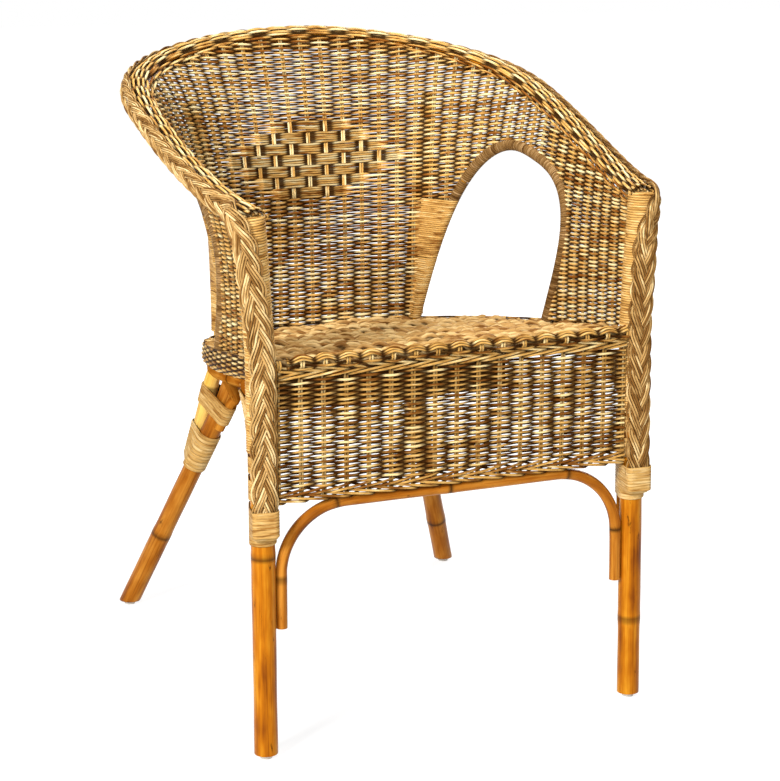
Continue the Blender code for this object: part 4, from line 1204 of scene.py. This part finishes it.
lines = []
for row, z in enumerate(np.arange(APRON_FOOT_Z + 0.0150, APRON_TOP_Z - 0.0135, APRON_PITCH)):
    half = apron_reach(z)
    x = np.concatenate([[-half], np.arange(-half + 0.002, half - 0.002, APRON_STAKE / PER_STAKE), [half]])
    level = z + 0.0006 * stray(x * 4)
    amount = apron_swing(row, x)
    points = np.stack([x, APRON_Y - DEPTH * amount, level], 1)
    loose = (beaten(x * 3.4, z * 5) - REED_R * 1.05) * 1.2
    # Painted shade on the far sides of the reeds and where they dive.
    lines.append(reed_line(points, REED_R * 0.98 + loose, FRONT * amount[:, None], dive_shade(amount)))
woven("apron_rows", lines, apron_reed, ["apron_weave"])


def wale(z, slant):
    """Three reeds that each go over two stakes and under the third, so that they slant."""
    half = apron_reach(z)
    x = np.linspace(-half, half, 190)
    made = []
    for first in range(3):
        place = (x / APRON_STAKE - first) % 3
        way_under = (place - WALE_OVER) / WALE_UNDER
        front = np.clip(np.sin(np.pi * place / WALE_OVER), 0, 1) ** 0.6 * (place < WALE_OVER)
        behind = np.sin(np.pi * np.clip(way_under, 0, 1))
        lift = np.where(place < WALE_OVER, place / WALE_OVER * 2 - 1, 1 - 2 * way_under)
        y = APRON_Y - (STAKE_R + WALE_R + 0.0012) * front + (STAKE_R + WALE_R) * behind
        points = np.stack([x, y, z + slant * WALE_RISE * lift], 1)
        # Painted shade where a reed goes behind the stakes, and on its far sides.
        line = reed_line(points, WALE_R, FRONT * front[:, None], 0.8 * (1 - front))
        made.append(retoned(line, 0.3, 0.6))
    return made


lines = []
for above, slant in TOP_WALES:
    lines += wale(APRON_TOP_Z + above, slant)
# The foot wales are toned darker as painted shade, against the light that the floor throws up on them.
for above, slant in FOOT_WALES:
    lines += [retoned(line, -0.4) for line in wale(APRON_FOOT_Z + above, slant)]
woven("apron_waling", lines, apron_reed)

lines = []
half = apron_reach(SEAT_FRONT_Z) - 0.002
x = np.linspace(-half + 0.006, half, 300)
for angle in ARCH_ANGLES:
    arch = np.abs(np.cos(np.pi * x / APRON_STAKE))
    points = nose(x, 0.0054 + 0.0034 * arch + 0.0003 * stray(x * 6), angle + 0.40 * (1 - arch))
    lean = np.array((0, -math.sin(angle), math.cos(angle))) * arch[:, None]
    # Painted shade between the arches, and on the sides of the reeds away from their crowns.
    lines.append(reed_line(points, REED_R * 1.02, lean, 0.9 * (1 - arch) ** 1.5, 1.8))
for row, angle in enumerate(BORDER_ANGLES):
    amount = apron_swing(row, x)
    lean = np.array((0, -math.sin(angle), math.cos(angle))) * amount[:, None]
    # Painted shade on the far sides of the border rows and where they dive.
    lines.append(reed_line(nose(x, 0.0064 + 0.0024 * amount, angle), REED_R, lean, dive_shade(amount)))
woven("seat_border", [retoned(line, -0.2) for line in lines], apron_reed)

# Plait: a flat braid of five strands, four reeds to a strand, up each front post and along the rim outside.
# Its ends are held by the wide bindings of the front legs, and it is stitched to the roll through the weave.
plait_tones = ((0.21, 0.094, 0.022), (0.51, 0.30, 0.102), (0.82, 0.60, 0.29))
plaited = reed_material("plaited reed", plait_tones, 0.5)
BRAID_PERIOD = 0.114
BRAID_STRANDS = 5
BRAID_REEDS = 4
BRAID_REED_R = 0.00122
BRAID_STEP = 0.0032
BRAID_BEND = 0.022
BRAID_LIFT = 0.0022
BRAID_CROWN = 0.0006
BRAID_SHARPNESS = 0.92
RIM_OUT = ROLL_R + WEAVE_T / 2 + 0.0006 + BRAID_T / 2
RIM_REACH = 0.945
POST_TOP_Z = RIM_FRONT_Z - 0.050
# Above each post the plait bends to the rim: height above the rim's front, way out, way back, and degrees
TOP_TURN = {-1: 24, 1: 0}
TOP_BEND = {
    -1: ((-0.027, 0.0140, 0.0045, 44), (-0.007, 0.0190, 0.0085, 56), (0.007, 0.0235, 0.0180, 70)),
    1: ((-0.030, 0.0030, 0.0005, 20), (-0.012, 0.0095, 0.0040, 42), (0.001, 0.0165, 0.0155, 66)),
}
stations = []
for side in (-1, 1):
    up = []
    for place in front_leg_at(side, np.linspace(BRAID_FOOT_Z, POST_TOP_Z, 14)):
        more = np.interp(place[2], (SEAT_FRONT_Z + 0.020, POST_TOP_Z), (0, TOP_TURN[side]))
        facing = braid_facing(side, math.radians(more))
        up.append(np.concatenate([place + facing * BRAID_OFF, facing]))
    for z, out, back, turn in TOP_BEND[side]:
        place = front_leg_at(side, RIM_FRONT_Z + z) + (side * out, back - BRAID_OFF, 0)
        up.append((*place, side * math.sin(math.radians(turn)), -math.cos(math.radians(turn)), 0.08))
    stations.append(up)
shares = np.linspace(-RIM_REACH, RIM_REACH, 90)
out, up = rim_frame(shares)
tilt = np.radians(np.interp(shares, (-0.60, -0.30, RIM_REACH), (24, 12, 12)))[:, None]
facing = out * np.cos(tilt) + up * np.sin(tilt)
round_rim = np.concatenate([rim_centre(shares) + facing * RIM_OUT, facing], 1)
track = through([*stations[0], *round_rim, *stations[1][::-1]], 10)
run = distances(track[:, :3])
at = np.linspace(0, run[-1], round(run[-1] / BRAID_STEP))
centre, facing = np.split(sampled(track, at, run), 2, axis=1)
along = unit(np.gradient(centre, axis=0))
across = unit(np.cross(along, unit(facing)))
facing = np.cross(across, along)

# Along the rim the plait is narrower and its top has painted light: its lean turns upward there, so the
# painted shade leaves the top pale. On the right post it is duller.
rim_way = np.minimum(at, run[-1] - at) - (RIM_FRONT_Z - BRAID_FOOT_Z)
narrow = np.interp(rim_way, (-0.02, 0.10), (1, 0.68))
slim = 0.3 + 0.7 * narrow
lit = unit(facing + np.clip(rim_way / 0.05, 0, 1)[:, None] * UPRIGHT)
duller = 0.22 * np.clip(at / run[-1] * 4 - 2.5, 0, 1)
lines = []
for first in range(BRAID_STRANDS):
    turn = 2 * np.pi * (at / BRAID_PERIOD + first / BRAID_STRANDS)
    zigzag = np.arcsin(BRAID_SHARPNESS * np.sin(turn)) / math.asin(BRAID_SHARPNESS)
    sway = (BRAID_W / 2 - BRAID_REED_R * 2.4) * narrow * zigzag
    slope = np.gradient(sway, at)
    # Painted shade where a strand goes under the next.
    under_shade = 0.95 * np.clip(np.sin(2 * turn), 0, 1)
    for which in np.arange(BRAID_REEDS) - (BRAID_REEDS - 1) / 2:
        offset = which * BRAID_REED_R * 2.12 * slim
        sideways = sway + offset / np.sqrt(1 + slope**2)
        forth = -offset * slope / np.sqrt(1 + slope**2)
        crown = BRAID_CROWN * (1 - (which / 1.5) ** 2) - sideways**2 / (2 * BRAID_BEND)
        lift = crown - BRAID_LIFT * np.sin(2 * turn)
        points = centre + across * sideways[:, None] + along * forth[:, None] + facing * lift[:, None]
        line = reed_line(points, BRAID_REED_R * slim, lit, under_shade, 2.0)
        lines.append({**retoned(line, -duller), "both": 1.0})
bars("plait", lines, plaited, 6, ["rim_braid", "post_braid_left", "post_braid_right"])

# Glides: round pads of pale moulded plastic, nailed under the legs so that the cane doesn't wear on a floor.
# They keep the shape of their nodes and only get a scuffed finish.
made, tree, shader = new_material("glide plastic")
scuffs = noise_tree(tree, new_node(tree, "TexCoord", {}).outputs["Object"], 240, 4, 0.6)
colour = ramp_tree(tree, scuffs, (0.35, (0.55, 0.52, 0.46)), (0.6, (0.72, 0.69, 0.62)))
fill(tree, shader, {"Base Color": colour, "Roughness": 0.5})
for node in ("glide_front_left", "glide_front_right", "glide_rear_left", "glide_rear_right"):
    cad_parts[node].data.materials.clear()
    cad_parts[node].data.materials.append(made)

# Setting: a pale floor that fades into a white surround, three soft lamps in front and above, and one behind.
# Seen directly, floor and surround are the same white, so the floor shows only by the chair's shadow.
PHOTO_W = 781
FOCAL_PX = 2000
SENSOR_W = 36
CAMERA_PLACE = (-0.8819, -1.9032, 0.9067)
CAMERA_DOWN = 13.9
CAMERA_TURN = 22.9
LAMP_AIM = Vector((0, 0, 0.4))
LAMPS = (
    ("key", (-2.7, -1.9, 2.0), 1.0, 135),
    ("fill", (-1.0, -3.0, 1.5), 1.4, 50),
    ("top", (0.2, -0.2, 2.8), 1.2, 40),
    ("rear", (2.1, 2.2, 1.7), 2.0, 60),
)


def seen_tree(tree, unseen, seen, result):
    """One shader for the light on the chair, and another where camera, glass or gloss see it directly."""
    path = new_node(tree, "LightPath", {}).outputs
    fac = math_tree(tree, "MAXIMUM", path["Is Camera Ray"], path["Is Transmission Ray"])
    fac = math_tree(tree, "MAXIMUM", fac, path["Is Glossy Ray"])
    mix = new_node(tree, "MixShader", {0: fac, 1: unseen.outputs[0], 2: seen.outputs[0]})
    fill(tree, result, {"Surface": mix.outputs[0]})


bm = bmesh.new()
bmesh.ops.create_grid(bm, x_segments=1, y_segments=1, size=12)
mesh = bpy.data.meshes.new("floor")
bm.to_mesh(mesh)
bm.free()
floor = placed("floor", mesh)
made, tree, shader = new_material("floor")
place = new_node(tree, "TexCoord", {}).outputs["Object"]
colour = ramp_tree(tree, noise_tree(tree, place, 3), (0, (0.60, 0.60, 0.60)), (1, (0.64, 0.64, 0.64)))
fill(tree, shader, {"Base Color": colour, "Roughness": 0.9})
half_dark = mix_tree(tree, "MULTIPLY", 1.0, colour, (0.50, 0.50, 0.50))
paler = new_node(tree, "BsdfDiffuse", {"Color": half_dark})
far = new_node(tree, "VectorMath", {0: place}, operation="LENGTH").outputs["Value"]
fade = {"Value": far, "From Min": 0.3, "From Max": 0.9, "To Min": 0.80, "To Max": 1.0}
strength = new_node(tree, "MapRange", fade).outputs["Result"]
glow = new_node(tree, "Emission", {"Color": (1, 1, 1), "Strength": strength})
both = new_node(tree, "AddShader", {0: paler.outputs[0], 1: glow.outputs[0]})
seen_tree(tree, shader, both, tree.nodes["Material Output"])
mesh.materials.append(made)

world = bpy.data.worlds.new("surround")
world.use_nodes = True
bpy.context.scene.world = world
tree = world.node_tree
tree.nodes.clear()
lit, shown = (new_node(tree, "Background", {"Color": (1, 1, 1), "Strength": s}) for s in (0.11, 1.0))
seen_tree(tree, lit, shown, new_node(tree, "OutputWorld", {}))

for name, place, size, power in LAMPS:
    lamp = bpy.data.lights.new(name, "AREA")
    lamp.shape = "DISK"
    lamp.size = size
    lamp.energy = power
    holder = placed(name, lamp)
    holder.location = place
    holder.rotation_euler = (LAMP_AIM - holder.location).to_track_quat("-Z", "Y").to_euler()

camera = bpy.data.cameras.new("camera")
camera.sensor_width = SENSOR_W
camera.lens = FOCAL_PX * SENSOR_W / PHOTO_W
holder = placed("camera", camera)
holder.location = Vector(CAMERA_PLACE) + Vector(ORIGIN)
holder.rotation_euler = (math.radians(90 - CAMERA_DOWN), 0, math.radians(-CAMERA_TURN))
bpy.context.scene.camera = holder
bpy.context.scene.view_settings.view_transform = "Standard"
